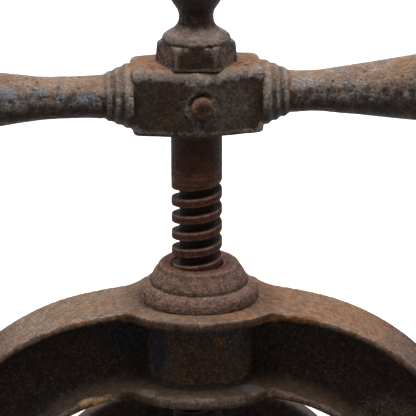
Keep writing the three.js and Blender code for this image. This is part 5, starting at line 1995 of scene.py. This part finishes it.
@dataclass
class Tray:
    """The round tray with its spout, lugs, feet and the ribs under the cylinder. Millimetres."""

    foot_height: float = 24.0
    floor: float = 6.0
    bore: float = 87.0
    wall: float = 5.0
    depth: float = 24.0
    bead: float = 2.2
    rib_lift: float = 8.0
    rib_from: float = 42.5
    rib_to: float = 72.5
    rib_width: float = 6.0
    stop_height: float = 5.0
    spout_length: float = 40.0
    spout_width: float = 26.0
    spout_wall: float = 4.5
    spout_narrowing: float = 0.62
    spout_drop: float = 9.0
    lug_end: float = 149.5
    lug_half: float = 47.0
    lug_thickness: float = 10.0
    lug_corner: float = 16.0
    foot_inset: float = 10.75
    bolt_hole: float = 4.3
    pad_middle: float = 119.5
    bolt_spacing: float = 56.0

    def _trough(self, half: float, bottom: float, top: float, beyond: float) -> Shell:
        """A trough section that runs out to the front, narrowing and dropping evenly.

        Args:
            half: half of its width.
            bottom, top: its heights at the pan.
            beyond: how far it runs past the spout's end.

        Returns:
            The closed shell.
        """
        corner = 0.6 * half
        section = [(-half, top)]
        for middle, start in ((corner - half, 0.5), (half - corner, 0.75)):
            bend = np.linspace(start * TURN, (start + 0.25) * TURN, 9)
            section += [(middle + corner * cos(a), bottom + corner + corner * sin(a)) for a in bend]
        section.append((half, top))
        rings = []
        for run in np.linspace(self.bore - self.wall, self.bore + self.wall + self.spout_length + beyond, 18):
            share = (run - self.bore) / (self.wall + self.spout_length)
            narrow = 1 - (1 - self.spout_narrowing) * share
            rings.append(np.array([(x * narrow, -run, z - self.spout_drop * share) for x, z in section]))
        return loft(rings)

    def _rib(self, angle: float) -> Shell:
        """A rib under the cylinder, with the stop that centres it.

        Args:
            angle: its direction, in degrees.

        Returns:
            The closed shell.
        """
        floor_top = self.foot_height + self.floor
        seat, stop = floor_top + self.rib_lift, DATUM.cylinder_radius + SEAT
        near, far, foot, high = self.rib_from, self.rib_to, floor_top - 2, seat + self.stop_height
        side = [(near, foot), (far, foot), (far, seat), (stop + 2.5, high), (stop, high), (stop, seat), (near, seat)]
        return slab(side, -self.rib_width / 2, self.rib_width / 2).laid("X", 90).placed(turn=angle)

    def build(self) -> None:
        """Casts the tray."""
        low, floor_top = self.foot_height, self.foot_height + self.floor
        rim, outer = floor_top + self.depth, self.bore + self.wall
        bead = outer + self.bead
        arc = [
            (bead - self.bead * (1 - cos(a)), rim - self.bead + self.bead * sin(a)) for a in np.linspace(0, TURN / 4, 6)
        ]
        pan = turned(
            [
                (CORE, low), (outer - 5, low), (outer - 1.5, low + 1.5), (outer, low + 5), (outer, rim - 2 * self.bead),
                *arc, (CORE, rim),
            ],
            180,
        )
        bowl = turned(
            [
                (CORE, floor_top), (self.bore - 5, floor_top), (self.bore - 1.5, floor_top + 1.5),
                (self.bore, floor_top + 5), (self.bore, rim - 1), (self.bore + 0.8, rim + 6), (CORE, rim + 6),
            ],
            180,
        )
        shells = [pan, self._trough(self.spout_width / 2 + self.spout_wall, low, rim - self.bead, 0.0)]
        cutters = [bowl, self._trough(self.spout_width / 2, floor_top, rim + 6, 4.0)]
        start = self.bore / 2
        for side in (-1, 1):
            lug = slab(
                rounded_box(self.lug_end - start, 2 * self.lug_half, self.lug_corner), low, low + self.lug_thickness,
            )
            shells.append(lug.placed(x=side * (start + self.lug_end) / 2))
            for end in (-1, 1):
                foot = turned([(5.8, 0.0), (6.6, 0.8), (8.6, low - 4), (9.4, low - 1), (11.0, low + 1)], 48)
                shells.append(
                    foot.placed(x=side * (self.lug_end - self.foot_inset), y=end * (self.lug_half - self.foot_inset))
                )
                hole = bar(self.bolt_hole, -2.0, low + 20, facets=32)
                cutters.append(hole.placed(x=side * self.pad_middle, y=end * self.bolt_spacing / 2))
        tools = [object_from(f"tray_tool_{i}", [cutter]) for i, cutter in enumerate(cutters)]
        ribs = [self._rib(angle) for angle in (45, 135, 225, 315)]
        casting = Casting(voxel=1.25, soften=2, triangles=160000)
        piece = casting.cast("juice_tray_casting", shells, TRAY_IRON.material(), tools, ribs)
        set_down(piece, Body.FRAME, "cast_tray", "juice_tray")


@dataclass
class FrameFasteners:
    """The four bolts with their washers and nuts. Millimetres."""

    width: float = 239.0
    depth: float = 56.0
    shank: float = 4.0
    hexagon: float = 7.5
    pitch: float = 1.25
    washer_bore: float = 4.3
    washer_radius: float = 8.6

    def _hex(self, bottom: float, top: float, chamfer_top: bool) -> Shell:
        """A hexagon whose corners are turned off at one end.

        Args:
            bottom, top: its heights.
            chamfer_top: whether that end is the upper one.

        Returns:
            The closed shell.
        """
        flat = self.hexagon * cos(TURN / 12)

        def radius(angle: float, level: float) -> float:
            """The smaller of the hexagon's reach and the chamfer's.

            Args:
                angle: place round the axis.
                level: height.

            Returns:
                The radius.
            """
            across = (angle % (TURN / 6)) - TURN / 12
            inside = (top - level) if chamfer_top else (level - bottom)
            return min(flat / cos(across), flat - 0.25 + inside * 1.5)

        return polar([float(z) for z in np.linspace(bottom, top, 9)], radius, 72)

    def _set(self, name: str, shells: Sequence[Shell], node: str, turn: float) -> None:
        """Sets one kind of fastener at the four corners.

        Args:
            name: the part's name, and the piece's with a suffix.
            shells: the part's shells.
            node: how its nodes' names start.
            turn: turn from corner to corner, in radians.
        """
        part = object_from(name, shells, on_axis=False)
        values = {"Width": self.width * MM, "Depth": self.depth * MM, "Turn Step": turn}
        piece = copies_of(name, part, TREES.corners, values, FASTENER_STEEL.material())
        roughened(piece, 0, (200.0, 0.12), (500.0, 0.08))
        piece = to_axis(baked(piece, piece.name))
        piece.data.shade_smooth()
        piece.data.set_sharp_from_angle(angle=radians(32))
        places = [f"{side}_{end}" for side in ("left", "right") for end in ("front", "rear")]
        set_down(piece, Body.FRAME, "fastener_steel", *[f"{node}_{place}" for place in places])

    def build(self) -> None:
        """Sets the bolts, washers and nuts."""
        kinds = ("bolt", "washer", "nut")
        heights = [[corner[2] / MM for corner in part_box(f"frame_{kind}_left_front")] for kind in kinds]
        (bolt_low, bolt_high), (washer_low, washer_high), (nut_low, nut_high) = heights
        head = self._hex(washer_high + SEAT, bolt_high, True)
        pitch = self.pitch
        flanks = range(int((nut_high - bolt_low) / pitch * 2))
        ridges = [(self.shank - 0.5 * (i % 2), bolt_low + 0.8 + i * pitch / 2) for i in flanks]
        shaft = turned(
            [
                (CORE, bolt_low), (self.shank - 0.9, bolt_low), *ridges, (self.shank, nut_high + 2),
                (self.shank, washer_high + 1), (CORE, washer_high + 1),
            ],
            32,
        )
        self._set("frame_bolts", [head, shaft], "frame_bolt", 0.37)
        bore, rim = self.washer_bore, self.washer_radius
        profile = [(bore, washer_low), (rim - 0.2, washer_low), (rim, washer_low + 0.3), (rim, washer_high - 0.4)]
        ring = hollow([*profile, (rim - 0.3, washer_high), (bore, washer_high)], 64)
        self._set("frame_washers", [ring], "frame_washer", 0.0)
        self._set("frame_nuts", [self._hex(nut_low, nut_high, False)], "frame_nut", 0.29)


# Stage, light and camera


@dataclass
class Studio:
    """A pale floor, one broad light overhead, weak light all round, and the camera. Metres."""

    distance: float = 1.412
    elevation: float = 20.0
    roll: float = 0.12
    lens: float = 259.6
    aim_x: float = 0.00526
    aim_z: float = 0.2633
    floor_side: float = 6.0
    near_glow: float = 0.55
    glow_between: tuple[float, float] = (0.22, 0.6)
    ambient: float = 0.07
    overhead: float = 21.0
    fill: float = 0.4

    def build(self) -> None:
        """Builds the studio."""
        self._world()
        self._floor()
        self._lamp("overhead", self.overhead, 1.3, (0.0, 0.0, 1.25), (0.0, 0.02, 0.2))
        self._lamp("fill", self.fill, 0.9, (-0.5, -1.1, 0.95), (0.0, 0.02, 0.2))
        self._camera()
        bpy.context.scene.view_settings.view_transform = "Standard"

    def _world(self) -> None:
        """White to look at and in reflections, and weak grey light for the rest."""
        world = bpy.data.worlds.new("studio")
        world.use_nodes = True
        world.node_tree.nodes.clear()
        sheet = Sheet(world.node_tree)
        rays = sheet.node("ShaderNodeLightPath").outputs
        seen = sheet.math("MAXIMUM", rays["Is Camera Ray"], rays["Is Glossy Ray"])
        seen = sheet.math("MAXIMUM", seen, rays["Is Transmission Ray"])
        dim = sheet.node("ShaderNodeBackground", {"Color": (1.0, 0.985, 0.96, 1.0), "Strength": self.ambient})
        white = sheet.node("ShaderNodeBackground", {"Color": (1.0, 1.0, 1.0, 1.0), "Strength": 1.0})
        both = sheet.node("ShaderNodeMixShader", {0: seen, 1: dim.outputs[0], 2: white.outputs[0]})
        sheet.node("ShaderNodeOutputWorld", {"Surface": both.outputs[0]})
        bpy.context.scene.world = world

    def _floor(self) -> None:
        """A pale floor that keeps the shadow and runs out to white."""
        side = self.floor_side
        mesh = bpy.data.meshes.new("floor")
        mesh.from_pydata([(-side, -side, 0), (side, -side, 0), (side, side, 0), (-side, side, 0)], [], [(0, 1, 2, 3)])
        floor = linked("floor", mesh)
        material, sheet = blank_material("pale_floor")
        reach = sheet.length(sheet.node("ShaderNodeTexCoord").outputs["Object"])
        rays = sheet.node("ShaderNodeLightPath").outputs
        seen = sheet.math("MAXIMUM", rays["Is Camera Ray"], rays["Is Glossy Ray"])
        away = sheet.ramp(reach, *self.glow_between)
        glow = sheet.times(sheet.plus(self.near_glow, sheet.times(away, 1 - self.near_glow)), seen)
        pale = sheet.mix(seen, (120, 118, 114), (222, 221, 219))
        values = {
            "Base Color": pale, "Roughness": 0.9, "Emission Color": (1.0, 1.0, 1.0, 1.0), "Emission Strength": glow
        }
        shader = sheet.node("ShaderNodeBsdfPrincipled", values | {"Specular IOR Level": 0.0})
        sheet.node("ShaderNodeOutputMaterial", {"Surface": shader.outputs[0]})
        mesh.materials.append(material)

    @staticmethod
    def _lamp(name: str, power: float, size: float, place: Sequence[float], target: Sequence[float]) -> None:
        """A square soft light that faces a target.

        Args:
            name: the light's name.
            power: its power, in watts.
            size: its side, in metres.
            place, target: where it stands and what it faces, in metres.
        """
        light = bpy.data.lights.new(name, "AREA")
        light.energy, light.size = power, size
        lamp = linked(name, light)
        lamp.location = place
        lamp.rotation_euler = (Vector(target) - Vector(place)).to_track_quat("-Z", "Y").to_euler()

    def _camera(self) -> None:
        """The camera, a little above the handle, level but for a slight roll."""
        camera = bpy.data.cameras.new("camera")
        camera.lens, camera.sensor_width = self.lens, 36.0
        camera.clip_end = 50.0
        eye = linked("camera", camera)
        target = Vector((self.aim_x, DATUM.axis_y * MM, self.aim_z))
        tilt = radians(self.elevation)
        eye.location = target + Vector((0.0, -cos(tilt), sin(tilt))) * self.distance
        aim = Matrix.Rotation(radians(90 - self.elevation), 4, "X") @ Matrix.Rotation(radians(-self.roll), 4, "Z")
        eye.rotation_euler = aim.to_euler()
        bpy.context.scene.camera = eye


def main() -> None:
    """Builds the studio and every piece in order."""
    logging.basicConfig(level=logging.INFO, format="%(name)s: %(message)s", stream=sys.stdout)
    Studio().build()
    PressFrame().build()
    Screw().build()
    handle = CrossHandle()
    handle.build()
    handle.build_pin()
    Finial().build()
    strainer = Strainer()
    strainer.build()
    strainer.build_floor()
    plate = Plate()
    plate.build()
    plate.build_screws()
    plate.dress_collar()
    Tray().build()
    FrameFasteners().build()


if __name__ == "__main__":
    main()
